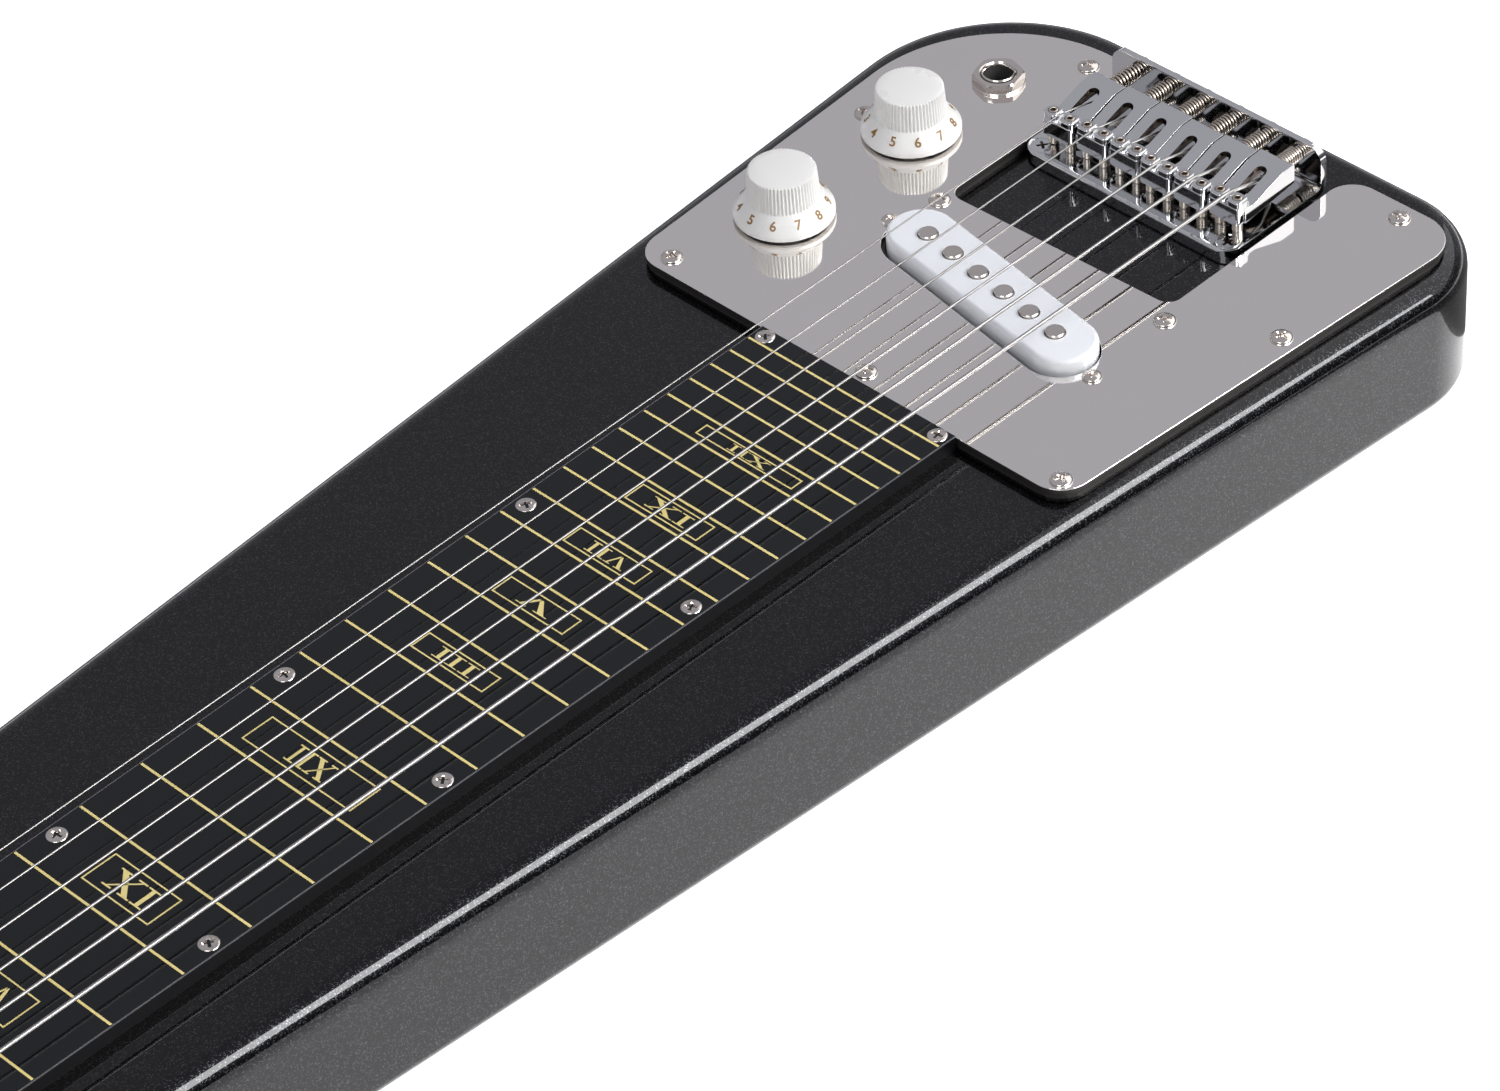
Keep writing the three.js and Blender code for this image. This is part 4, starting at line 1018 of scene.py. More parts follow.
class GeometryTree:
    """A Geometry Nodes tree with named inputs that ends in one plain mesh with a material."""

    def __init__(self, name: str, inputs: dict[str, str]) -> None:
        """Starts the tree.

        Args:
            name: The tree's name.
            inputs: The names and kinds of its own inputs.
        """
        self.tree = bpy.data.node_groups.new(name, "GeometryNodeTree")
        for label, kind in {"Geometry": "Geometry", **inputs, "Material": "Material"}.items():
            self.tree.interface.new_socket(label, in_out="INPUT", socket_type=f"NodeSocket{kind}")
        self.tree.interface.new_socket("Geometry", in_out="OUTPUT", socket_type="NodeSocketGeometry")
        self.nodes = Nodes(self.tree)
        self.given = self.nodes.given()

    def close(self, geometry: Socket) -> None:
        """Ends the tree with real geometry and its material."""
        real = self.nodes.add("GeometryNodeRealizeInstances", {"Geometry": geometry})
        dressed = self.nodes.add(
            "GeometryNodeSetMaterial", {"Geometry": real.outputs[0], "Material": self.given["Material"]}
        )
        self.nodes.add("NodeGroupOutput", {"Geometry": dressed.outputs[0]})

    def run(self, name: str, values: dict[str, object], start: Mesh | None = None) -> Object:
        """Runs the tree.

        Args:
            name: The new object's name.
            values: The inputs by name.
            start: The mesh that the tree begins with, or nothing.

        Returns:
            A plain object, in instrument millimetres.
        """
        made = linked(name, start or bpy.data.meshes.new(name))
        step = made.modifiers.new(self.tree.name, "NODES")
        step.node_group = self.tree
        for item in self.tree.interface.items_tree:
            if item.item_type == "SOCKET" and item.in_out == "INPUT" and item.name in values:
                step[item.identifier] = values[item.name]
        return bake(made)


class Scatter:
    """Puts one screw at many places, each with its own turn about Z."""

    turn_step = 37

    def __init__(self) -> None:
        """Builds the tree once."""
        self.made = GeometryTree("place_fasteners", {"Fastener": "Object"})
        nodes, given = self.made.nodes, self.made.given
        turn = nodes.add("GeometryNodeInputNamedAttribute", {"Name": "turn"}, data_type="FLOAT")
        angle = nodes.xyz(0.0, 0.0, turn.outputs[0])
        source = nodes.add("GeometryNodeObjectInfo", {"Object": given["Fastener"]})
        piece = source.outputs["Geometry"]
        values = {"Points": given["Geometry"], "Instance": piece, "Rotation": angle}
        self.made.close(nodes.add("GeometryNodeInstanceOnPoints", values).outputs[0])

    def screws(
        self, name: str, kind: CrossScrew, places: Sequence[Vector],
        lined: bool = False, turned: Matrix | None = None,
    ) -> None:
        """Builds a screw at each of many places on the instrument.

        Args:
            name: The piece's name.
            kind: The screw.
            places: Where the seats stand.
            lined: Whether the recesses get painted shade.
            turned: A last turn of them all, or None.
        """
        points = bpy.data.meshes.new(name)
        points.from_pydata([tuple(p) for p in places], [], [])
        for k, item in enumerate(points.attributes.new("turn", "FLOAT", "POINT").data):
            item.value = math.radians(self.turn_step * k % 90)
        master = kind.draw(Solid()).object("screw")
        row = self.made.run(name, {"Fastener": master, "Material": NICKEL}, points)
        discard(master)
        row.data.set_sharp_from_angle(angle=math.radians(SHARP_DEGREES))
        if lined:
            kind.line(row, places)
        if turned is not None:
            row.data.transform(turned)
        settle(row, NICKEL)


SCATTER = Scatter()


class FretLines:
    """The fret lines, spaced by the equal-tempered rule."""

    def __init__(self) -> None:
        """Builds the tree once."""
        lengths = ("Scale length", "Line width", "Thickness", "Half width", "Spread", "Middle", "Height")
        self.made = GeometryTree("fret_lines", {"Count": "Int", **dict.fromkeys(lengths, "Float")})
        nodes, given = self.made.nodes, self.made.given
        line = nodes.add("GeometryNodeMeshLine", {"Count": given["Count"]})
        number = nodes.math("ADD", nodes.add("GeometryNodeInputIndex").outputs[0], 1.0)
        share = nodes.math("POWER", 2.0, nodes.math("DIVIDE", number, -float(LAYOUT.frets_per_octave)))
        along = nodes.math("MULTIPLY", given["Scale length"], nodes.math("SUBTRACT", 1.0, share))
        reach = nodes.math("ADD", given["Half width"], nodes.math("MULTIPLY", given["Spread"], along))
        place = nodes.xyz(along, given["Middle"], given["Height"])
        moved = nodes.add("GeometryNodeSetPosition", {"Geometry": line.outputs[0], "Position": place})
        size = nodes.xyz(given["Line width"], 2.0, given["Thickness"])
        bar = nodes.add("GeometryNodeMeshCube", {"Size": size}).outputs[0]
        values = {"Points": moved.outputs[0], "Instance": bar, "Scale": nodes.xyz(1.0, reach, 1.0)}
        self.made.close(nodes.add("GeometryNodeInstanceOnPoints", values).outputs[0])


class Coil:
    """A round wire wound into a cylinder, lying along X."""

    def __init__(self) -> None:
        """Builds the tree once."""
        lengths = ("Turns", "Radius", "Length", "Wire")
        self.made = GeometryTree("wound_coil", {**dict.fromkeys(lengths, "Float"), "Place": "Vector"})
        nodes, given = self.made.nodes, self.made.given
        radius = given["Radius"]
        values = {"Resolution": 20, "Rotations": given["Turns"], "Height": given["Length"]}
        values |= {"Start Radius": radius, "End Radius": radius}
        path = nodes.add("GeometryNodeCurveSpiral", values)
        section = nodes.add("GeometryNodeCurvePrimitiveCircle", {"Resolution": 10, "Radius": given["Wire"]})
        values = {"Curve": path.outputs[0], "Profile Curve": section.outputs[0], "Fill Caps": True}
        skin = nodes.add("GeometryNodeCurveToMesh", values)
        values = {"Geometry": skin.outputs[0], "Translation": given["Place"]}
        laid = nodes.add("GeometryNodeTransform", values | {"Rotation": Euler((0, math.pi / 2, 0))})
        soft = nodes.add("GeometryNodeSetShadeSmooth", {"Geometry": laid.outputs[0]})
        self.made.close(soft.outputs[0])


COIL = Coil()


# Body


@dataclass
class BodySlab:
    """The painted body with its head, hollows and tuner holes."""

    thickness: float = 40.0
    upper_round: float = 6.5
    lower_round: float = 4.0
    bass_corner: float = 30.0
    treble_corner: float = 48.0
    straight_behind_nut: float = 12.0
    shoulder_behind_nut: float = 27.0
    shoulder_corner: float = 9.0
    head_length: float = 150.0
    head_half_width: float = 32.0
    head_tip_half_width: float = 30.0
    head_corner: float = 12.0
    head_round: float = 2.5
    overlap: float = 20.0
    overrun: float = 2.0
    anchor_recess: tuple[float, float, float] = (12.6, 66.6, 7.0)
    recess_corner: float = 1.5
    cavity_corner: float = 6.0
    control_low: Point2 = (489.0, 47.2)
    control_high: Point2 = (591.3, 77.1)
    control_floor: float = 6.0
    pickup_size: Point2 = (99.0, 26.8)
    pickup_floor: float = 20.0
    tuner_hole: float = 3.3
    string_hole: float = 1.6

    def outline(self) -> list[Vector]:
        """Returns the body's outline without the head."""
        shoulder = -self.shoulder_behind_nut
        start = -self.straight_behind_nut
        half = self.head_half_width + self.overrun
        soft = self.shoulder_corner
        return rounded([
            Corner(shoulder, -half, soft),
            Corner(start, LAYOUT.bass_edge(start), soft),
            Corner(LAYOUT.tail_x, LAYOUT.bass_edge(LAYOUT.tail_x), self.bass_corner),
            Corner(LAYOUT.tail_x, LAYOUT.treble_edge(LAYOUT.tail_x), self.treble_corner),
            Corner(start, LAYOUT.treble_edge(start), soft),
            Corner(shoulder, half, soft),
        ], 2.5)

    def head_outline(self) -> list[Vector]:
        """Returns the head's outline, which runs into the body."""
        root = -self.shoulder_behind_nut + self.overlap
        return rounded([
            Corner(-self.head_length, -self.head_tip_half_width, self.head_corner),
            Corner(root, -self.head_half_width),
            Corner(root, self.head_half_width),
            Corner(-self.head_length, self.head_tip_half_width, self.head_corner),
        ])

    def _hollows(self, pickup: "Pickup", tuners: "Tuners") -> Solid:
        """Returns the solid that is cut from the body."""
        cut = Solid()
        high = self.thickness + self.overrun
        controls = rectangle(self.control_low, self.control_high, self.cavity_corner)
        cut.slab(controls, square_edge(self.control_floor, high))
        cut.slab(pickup.slanted(obround(*self.pickup_size)), square_edge(self.pickup_floor, high))
        wide, long, deep = self.anchor_recess
        x = LAYOUT.string_hole_x
        anchor = rectangle((x - wide / 2, -long / 2), (x + wide / 2, long / 2), self.recess_corner)
        cut.slab(anchor, square_edge(-self.overrun, deep))
        for hole in LAYOUT.string_bores(self.string_hole):
            cut.slab(hole, square_edge(deep - LAYOUT.clearance, high))
        through = square_edge(LAYOUT.head_low - self.overrun, LAYOUT.head_high + self.overrun)
        for index in range(LAYOUT.strings):
            cut.slab(circle(*tuners.post(index), self.tuner_hole), through)
        return cut

    def build(self, pickup: "Pickup", tuners: "Tuners") -> None:
        """Builds the body.

        Args:
            pickup: The pickup, whose hollow follows its slant.
            tuners: The tuners, whose posts pass through the head.
        """
        edge = soft_edge(0, self.thickness, self.upper_round, self.lower_round, 9)
        main = Solid().slab(self.outline(), edge).object("guitar_body")
        edge = soft_edge(LAYOUT.head_low, LAYOUT.head_high, self.head_round, self.head_round, 6)
        combine(main, Solid().slab(self.head_outline(), edge), "UNION")
        combine(main, self._hollows(pickup, tuners), "DIFFERENCE", crossing=True)
        even_normals(main)
        settle(main, PAINT, ["body"])


# Fretboard


class Numeral(Enum):
    """Position numerals."""

    III = "III"
    V = "V"
    VII = "VII"
    IX = "IX"
    XII = "XII"


NUMERAL_WIDTHS = {Numeral.III: 13.6, Numeral.V: 11.0, Numeral.VII: 13.3, Numeral.IX: 14.2, Numeral.XII: 13.3}


@dataclass(frozen=True)
class Marker:
    """A framed numeral in one fret space."""

    space: int
    numeral: Numeral
    depth: float
    half_length: float


@dataclass
class Fretboard:
    """The glossy board with its printed lines, numerals and flush screws."""

    half_width: float = 27.5
    spread: float = 0.01334
    middle: float = 0.8
    end_x: float = 464.3
    rim: float = 0.25
    line_count: int = 28
    line_width: float = 0.7
    print_thickness: float = 0.04
    frame_line: float = 0.42
    edge_line: float = 0.22
    line_inset: float = 0.45
    glyph_share: float = 0.62
    screw_spaces: tuple[float, ...] = (1.5, 5.5, 8.5, 12.5, 18.5)
    last_screw_from_end: float = 2.9
    screw_inset: float = 3.6
    markers: tuple[Marker, ...] = (
        Marker(3, Numeral.III, 11.0, 12.0),
        Marker(5, Numeral.V, 11.0, 12.0),
        Marker(7, Numeral.VII, 11.0, 12.0),
        Marker(9, Numeral.IX, 10.8, 11.8),
        Marker(12, Numeral.XII, 10.0, 19.1),
        Marker(15, Numeral.III, 6.6, 12.6),
        Marker(17, Numeral.V, 6.9, 12.4),
        Marker(19, Numeral.VII, 6.5, 12.6),
        Marker(21, Numeral.IX, 6.9, 12.6),
        Marker(24, Numeral.XII, 4.3, 16.8),
    )

    @property
    def print_top(self) -> float:
        """Returns the height of the printed lines' upper face."""
        return LAYOUT.board_top + self.print_thickness / 2

    @property
    def print_edge(self) -> Edge:
        """Returns the edge profile of what is printed on the board."""
        return square_edge(LAYOUT.board_top - self.print_thickness, self.print_top)

    def half_at(self, x: float) -> float:
        """Returns half the board's width at a place along it."""
        return self.half_width + self.spread * x

    def _panel(self) -> None:
        """Builds the board."""
        start, end = LAYOUT.clearance, self.end_x
        corners = [
            Vector((x, self.middle + side * self.half_at(x)))
            for x, side in ((start, -1), (end, -1), (end, 1), (start, 1))
        ]
        edge = soft_edge(LAYOUT.deck, LAYOUT.board_top, self.rim, 0.0, 2)
        panel = Solid().slab(corners, edge).object("fretboard_panel")
        line_faces(panel, BOARD_SIDE, lambda c: LAYOUT.deck < c.z < LAYOUT.board_top - self.rim)
        settle(panel, BOARD_BLACK, ["fretboard"])

    def _edge_lines(self) -> None:
        """Builds the painted highlight along each long edge, a thin grey strip."""
        lines = Solid()
        for side in Side:
            ends = (LAYOUT.clearance, self.end_x)
            outer = [(x, self.middle + side.value * (self.half_at(x) + 0.02)) for x in ends]
            inner = [(x, y - side.value * self.edge_line) for x, y in outer]
            outline = [Vector(p) for p in (*outer, *inner[::-1])]
            lines.slab(outline, square_edge(LAYOUT.board_top - 0.3, self.print_top))
        settle(lines.object("fretboard_edge_lines"), EDGE_HIGHLIGHT)

    def _fret_lines(self) -> None:
        """Builds the printed fret lines."""
        values = {
            "Scale length": LAYOUT.scale,
            "Count": self.line_count,
            "Line width": self.line_width,
            "Thickness": self.print_thickness,
            "Half width": self.half_width - self.line_inset,
            "Spread": self.spread,
            "Middle": self.middle,
            "Height": LAYOUT.board_top,
            "Material": PRINT_GOLD,
        }
        lines = FretLines().made.run("fret_lines", values)
        settle(lines, PRINT_GOLD)

    def _strokes(self, letter: str) -> list[list[Point2]]:
        """Returns one letter's strokes, as outlines in a unit box."""
        serif = 0.07
        low, high = serif, 1 - serif
        stems = {
            "I": [[(0.37, low), (0.63, low), (0.63, high), (0.37, high)]],
            "V": [
                [(0.12, high), (0.46, 0), (0.57, 0), (0.32, high)],
                [(0.50, 0), (0.58, 0), (0.86, high), (0.78, high)],
            ],
            "X": [
                [(0.10, high), (0.68, low), (0.90, low), (0.31, high)],
                [(0.13, low), (0.20, low), (0.86, high), (0.79, high)],
            ],
        }
        feet = {"I": [(0.06, 0.94)], "V": [], "X": [(0.02, 0.34), (0.58, 0.98)]}
        heads = {"I": [(0.06, 0.94)], "V": [(0.02, 0.44), (0.66, 0.98)], "X": [(0.02, 0.42), (0.66, 0.98)]}
        bars = [[(a, z), (b, z), (b, z + serif), (a, z + serif)]
                for z, spans in ((0, feet[letter]), (high, heads[letter])) for a, b in spans]
        return stems[letter] + bars

    def _numeral(self, solid: Solid, marker: Marker, centre: float) -> None:
        """Adds one numeral, which reads along +Y with its top towards the nut."""
        widths = {"I": 1.25, "V": 2.4, "X": 2.6}
        letters = marker.numeral.value
        length = NUMERAL_WIDTHS[marker.numeral]
        unit = length / sum(widths[c] for c in letters)
        height = marker.depth * self.glyph_share
        y = self.middle - length / 2
        for letter in letters:
            wide = widths[letter] * unit
            for stroke in self._strokes(letter):
                outline = [Vector((centre + height * (0.5 - v), y + u * wide)) for u, v in stroke]
                solid.slab(outline, self.print_edge)
            y += wide

    def _markers(self) -> None:
        """Builds the framed numerals."""
        numerals = Solid()
        for marker in self.markers:
            centre = (LAYOUT.fret_x(marker.space - 1) + LAYOUT.fret_x(marker.space)) / 2
            frames = []
            for inset in (0.0, self.frame_line):
                along, across = marker.depth / 2 - inset, marker.half_length - inset
                low = (centre - along, self.middle - across)
                frames.append(rectangle(low, (centre + along, self.middle + across)))
            numerals.slab(frames[0], self.print_edge, frames[1:])
            self._numeral(numerals, marker, centre)
        settle(numerals.object("position_markers"), PRINT_GOLD)

    def _screws(self) -> None:
        """Builds the screws along both edges."""
        xs = [LAYOUT.fret_x(s) for s in self.screw_spaces] + [self.end_x - self.last_screw_from_end]
        rows = [(x, side.value * (self.half_at(x) - self.screw_inset)) for x in xs for side in Side]
        places = [Vector((x, self.middle + across, LAYOUT.board_top)) for x, across in rows]
        kind = CrossScrew(2.65, head_height=0.5, rim=0.12, reach=1.6, arm=0.4, depth=0.75, length=12)
        SCATTER.screws("fretboard_screws", kind, places, lined=True)

    def build(self) -> None:
        """Builds the board, its painted edge highlights and all that is printed or screwed on it."""
        self._panel()
        self._edge_lines()
        self._fret_lines()
        self._markers()
        self._screws()


# Pickup


@dataclass
class Pickup:
    """The slanted single-coil pickup with six pole pieces and two height screws."""

    x: float = 512.4
    y: float = -0.6
    slant: float = -math.radians(9.5)
    cover_length: float = 77.4
    cover_width: float = 18.8
    cover_low: float = 35.4
    cover_high: float = 47.4
    cover_round: float = 1.4
    wall: float = 1.2
    pole_pitch: float = 10.6
    pole_radius: float = 2.6
    pole_rise: float = 0.8
    pole_gap: float = 0.25
    pole_chamfer: float = 0.2
    base_thickness: float = 1.6
    magnet: tuple[float, float, float] = (60.0, 6.0, 3.2)
    magnet_round: float = 0.4
    screw_spread: float = 41.9
    screw_shift: Point2 = (-1.1, -0.4)
    screw_head: float = 2.6

    def slanted(self, points: Sequence[Vector]) -> list[Vector]:
        """Returns an outline drawn about the pickup's middle, set in its place."""
        return placed(points, self.slant, self.x, self.y)

    def along(self, distance: float) -> Point2:
        """Returns a place along the pickup's length."""
        return self.x - math.sin(self.slant) * distance, self.y + math.cos(self.slant) * distance

    def poles(self) -> list[Point2]:
        """Returns the pole pieces' places."""
        return [self.along((k - (LAYOUT.strings - 1) / 2) * self.pole_pitch) for k in range(LAYOUT.strings)]

    def screws(self) -> list[Point2]:
        """Returns the height screws' places, bass side first."""
        ends = (self.along(side.value * self.screw_spread) for side in Side)
        return [(x + self.screw_shift[0], y + self.screw_shift[1]) for x, y in ends]

    def _cover(self) -> None:
        """Builds the hollow cover."""
        outline = self.slanted(obround(self.cover_length, self.cover_width, 3))
        edge = soft_edge(self.cover_low, self.cover_high, self.cover_round, 0.0, 8)
        skin = Solid().slab(outline, edge).object("pickup_cover_shell")
        hollow = obround(self.cover_length - 2 * self.wall, self.cover_width - 2 * self.wall)
        edge = square_edge(self.cover_low - 1, self.cover_high - self.wall)
        combine(skin, Solid().slab(self.slanted(hollow), edge), "DIFFERENCE")
        bores = Solid()
        for x, y in self.poles():
            bore = circle(x, y, self.pole_radius + self.pole_gap, 40)
            bores.slab(bore, square_edge(self.cover_high - 2 * self.wall, self.cover_high + 1))
        combine(skin, bores, "DIFFERENCE")
        even_normals(skin)
        settle(skin, PLASTIC, ["pickup_cover"], Carrier.PICKUP.value)

    def _poles(self) -> None:
        """Builds the pole pieces on their magnet."""
        base_low = self.cover_low - LAYOUT.clearance - self.base_thickness
        high = base_low - LAYOUT.clearance
        length, width, deep = self.magnet
        edge = soft_edge(high - deep, high, self.magnet_round, self.magnet_round, 2)
        solid = Solid().slab(self.slanted(obround(length, width)), edge)
        low, top = high - deep / 2, self.cover_high + self.pole_rise
        r, chamfer = self.pole_radius, self.pole_chamfer
        profile = [(0, low), (r, low), (r, top - chamfer), (r - chamfer, top), (0, top)]
        for x, y in self.poles():
            solid.turned(profile, shift(x, y), 40)
        pieces = solid.object("pickup_pole_pieces")
        settle(pieces, NICKEL, ["pickup_poles"], Carrier.PICKUP.value)

    def _screws(self) -> None:
        """Builds the two height screws, each on its own body."""
        kind = CrossScrew(self.screw_head, head_height=1.2, reach=1.4, arm=0.33, length=14)
        for number, (x, y) in enumerate(self.screws(), 1):
            place = shift(x, y, LAYOUT.plate_top) @ turned_by(0.6 * number)
            screw = kind.draw(Solid(), place).object(f"pickup_height_screw_{number}_piece")
            settle(screw, NICKEL, [f"pickup_screw_{number}"], f"pickup_height_screw_{number}")

    def build(self) -> None:
        """Builds the pickup."""
        self._cover()
        self._poles()
        self._screws()
        dress("pickup_bobbin", FIBRE)


# Control plate


@dataclass
class ControlPlate:
    """The polished plate round the pickup, the controls and the bridge."""

    front_x: float = 464.6
    rear_x: float = 609.9
    bass_margins: Point2 = (6.2, 7.8)
    treble_margins: Point2 = (8.4, 10.0)
    front_corner: float = 9.0
    bass_rear_corner: float = 12.0
    treble_rear_corner: float = 44.0
    mouth_x: float = 537.8
    mouth_slant: float = 1.1
    mouth_bass: float = 38.3
    mouth_treble: float = 36.9
    mouth_corner: float = 4.0
    bass_mouth_corner: float = 8.0
    treble_mouth_corner: float = 3.0
    rim: float = 0.2
    under_rim: float = 0.15
    screw_bore: float = 1.8
    pickup_gap: float = 0.8
    pickup_shift: float = 0.6
    bushing_radius: float = 4.9
    jack_radius: float = 5.0
    screw_shares: tuple[Point2, ...] = (
        (0.036, 0.936), (0.028, 0.467), (0.034, 0.034), (0.573, 0.938), (0.946, 0.732),
        (0.47, 0.685), (0.472, 0.196), (0.569, 0.033), (0.964, 0.106),
    )

    def _share(self, x: float) -> float:
        """Returns how far along the plate a place is."""
        return (x - self.front_x) / (self.rear_x - self.front_x)

    def bass(self, x: float) -> float:
        """Returns Y of the plate's bass edge."""
        first, last = self.bass_margins
        return LAYOUT.bass_edge(x) + first + (last - first) * self._share(x)

    def treble(self, x: float) -> float:
        """Returns Y of the plate's treble edge."""
        first, last = self.treble_margins
        return LAYOUT.treble_edge(x) - first - (last - first) * self._share(x)

    def outline(self) -> list[Vector]:
        """Returns the plate's outline with its mouth for the bridge."""
        front, rear = self.front_x, self.rear_x
        return rounded([
            Corner(front, self.bass(front), self.front_corner),
            Corner(rear, self.bass(rear), self.bass_rear_corner),
            Corner(rear, -self.mouth_bass, self.bass_mouth_corner),
            Corner(self.mouth_x + self.mouth_slant, -self.mouth_bass, self.mouth_corner),
            Corner(self.mouth_x - self.mouth_slant, self.mouth_treble, self.mouth_corner),
            Corner(rear, self.mouth_treble, self.treble_mouth_corner),
            Corner(rear, self.treble(rear), self.treble_rear_corner),
            Corner(front, self.treble(front), self.front_corner),
        ], 3)

    def build(self, pickup: Pickup, controls: Sequence["Knob"], jack: "Jack") -> None:
        """Builds the plate and its screws.

        Args:
            pickup: The pickup that stands through it.
            controls: The knobs over it.
            jack: The output jack in it.
        """
        gap, moved = 2 * self.pickup_gap, self.pickup_shift
        mouth = pickup.slanted(obround(pickup.cover_length + gap, pickup.cover_width + gap + moved, 4))
        holes = [[p - Vector((moved, 0)) for p in mouth]]
        holes += [circle(x, y, self.screw_bore, 24) for x, y in pickup.screws()]
        holes += [circle(k.x, k.y, self.bushing_radius, 40) for k in controls]
        holes.append(circle(jack.x, jack.y, self.jack_radius, 40))
        edge = soft_edge(LAYOUT.plate_bottom, LAYOUT.plate_top, self.rim, self.under_rim, 3)
        sheet = Solid().slab(self.outline(), edge, holes).object("polished_plate")
        line_faces(sheet, CUT_EDGE, lambda c: LAYOUT.plate_bottom + 0.1 < c.z < LAYOUT.plate_top - self.rim)
        settle(sheet, MIRROR, ["control_plate"])
        places = []
        for along, across in self.screw_shares:
            x = self.front_x + along * (self.rear_x - self.front_x)
            y = self.bass(x) + across * (self.treble(x) - self.bass(x))
            places.append(Vector((x, y, LAYOUT.plate_top)))
        SCATTER.screws("plate_screws", CrossScrew(length=11), places, lined=True)
        dress("plate_backing", BACKING)


# Knobs


@dataclass
class Knob:
    """A white dial knob with a fluted grip and a numbered skirt, over its potentiometer."""

    name: str
    carrier: Carrier
    x: float
    y: float
    first_digit: float
    bottom: float = 44.9
    rim_radius: float = 13.6
    rim_height: float = 0.9
    rim_drop: float = 0.6
    skirt_height: float = 5.1
    grip_radius: float = 9.8
    top_radius: float = 9.2
    height: float = 13.2
    crown: float = 0.5
    wall: float = 1.2
    boss_radius: float = 5.0
    boss_lift: float = 1.7
    cap: float = 2.6
    bore: float = 3.3
    flutes: int = 60
    flute_depth: float = 0.42
    steps_per_flute: int = 6
    digits: int = 10
    digit_step: float = 33.0
    digit_size: float = 3.7
    digit_radius: float = 11.75

    @property
    def skirt_foot(self) -> Point2:
        """Returns radius and height where the skirt's slope starts at its rim."""
        return self.rim_radius - 0.12, self.rim_height + 0.05

    @property
    def skirt_head(self) -> Point2:
        """Returns radius and height where the skirt's slope ends below the grip."""
        return self.grip_radius + 0.55, self.skirt_height - 0.35

    def _ring(self, radius: float, z: float, depth: float) -> list[Vector]:
        """Returns one ring, with flutes where a depth is given."""
        points = []
        for angle in turns(self.flutes * self.steps_per_flute):
            wave = abs(math.sin(self.flutes * angle / 2)) ** 1.4
            point = polar(radius - depth * (1 - wave), angle, self.x, self.y)
            points.append(Vector((*point, self.bottom + z)))
        return points

    def _shell(self) -> None:
        """Builds the knob's shell."""
        under, deep = self.height - self.cap, self.flute_depth
        rim, grip, top = self.rim_radius, self.grip_radius, self.top_radius
        skirt, height, drop = self.skirt_height, self.height, self.rim_drop
        plain = [
            (self.bore, under), (self.bore, self.boss_lift), (self.boss_radius, self.boss_lift),
            (self.boss_radius, under), (top - self.wall, under), (grip - self.wall, skirt - self.wall),
            (rim - self.wall, -drop), (rim - 0.3, -drop), (rim - 0.08, 0.1 - drop), (rim, 0.3 - drop),
            (rim, self.rim_height - 0.2), self.skirt_foot, self.skirt_head, (grip + 0.2, skirt - 0.05),
        ]
        rows = [(*row, 0) for row in plain]
        rows += [
            (grip + 0.05, skirt + 0.1, deep * 0.2), (grip, skirt + 0.35, deep),
            (top + 0.03, height - 0.45, deep), (top - 0.02, height - 0.2, deep),
            (top - 0.14, height - 0.02, deep), (top - 0.14 - deep, height + 0.06, 0),
            (top * 0.72, height + self.crown * 0.55, 0), (top * 0.38, height + self.crown * 0.88, 0),
        ]
        ends = (Vector((self.x, self.y, self.bottom + z)) for z in (under, height + self.crown))
        first, last = ([end] for end in ends)
        drawn = [self._ring(*row) for row in rows]
        shell = Solid().rings([first, *drawn, last]).object(f"{self.name}_dial", 38)
        settle(shell, DIAL_PLASTIC, [f"{self.name}_knob"], self.carrier.value)

    def _digits(self) -> None:
        """Builds the skirt's numbers, raised a hair from its slope."""
        foot, head = self.skirt_foot, self.skirt_head
        slope = math.atan2(head[1] - foot[1], foot[0] - head[0])
        z = self.bottom + foot[1] + (foot[0] - self.digit_radius) * math.tan(slope)
        parts = []
        style = {
            "size": self.digit_size, "align_x": "CENTER", "align_y": "CENTER",
            "extrude": 0.03, "offset": 0.07, "resolution_u": 3, "space_character": 0.85,
        }
        for number in range(1, self.digits + 1):
            text = bpy.data.curves.new("digit", "FONT")
            text.body = str(number)
            for setting, value in style.items():
                setattr(text, setting, value)
            holder = linked("digit", text)
            graph = bpy.context.evaluated_depsgraph_get()
            mesh = bpy.data.meshes.new_from_object(holder.evaluated_get(graph))
            angle = math.radians(self.first_digit + self.digit_step * number)
            turn = turned_by(angle + math.pi / 2) @ Matrix.Rotation(slope, 4, "X")
            spot = shift(*polar(self.digit_radius, angle, self.x, self.y), z)
            mesh.transform(spot @ turn @ shift(0, 0, 0.04))
            parts.append(mesh)
            bpy.data.objects.remove(holder)
            bpy.data.curves.remove(text)
        joined = bmesh.new()
        for mesh in parts:
            joined.from_mesh(mesh)
            bpy.data.meshes.remove(mesh)
        print_mesh = bpy.data.meshes.new(f"{self.name}_numbers")
        joined.to_mesh(print_mesh)
        joined.free()
        settle(linked(f"{self.name}_numbers", print_mesh), DIAL_INK, carrier=self.carrier.value)

    def build(self) -> None:
        """Builds the knob and dresses what stands under it."""
        self._shell()
        self._digits()
        dress(f"{self.name}_pot", STEEL)
        dress(f"{self.name}_shaft", STEEL)


# Jack


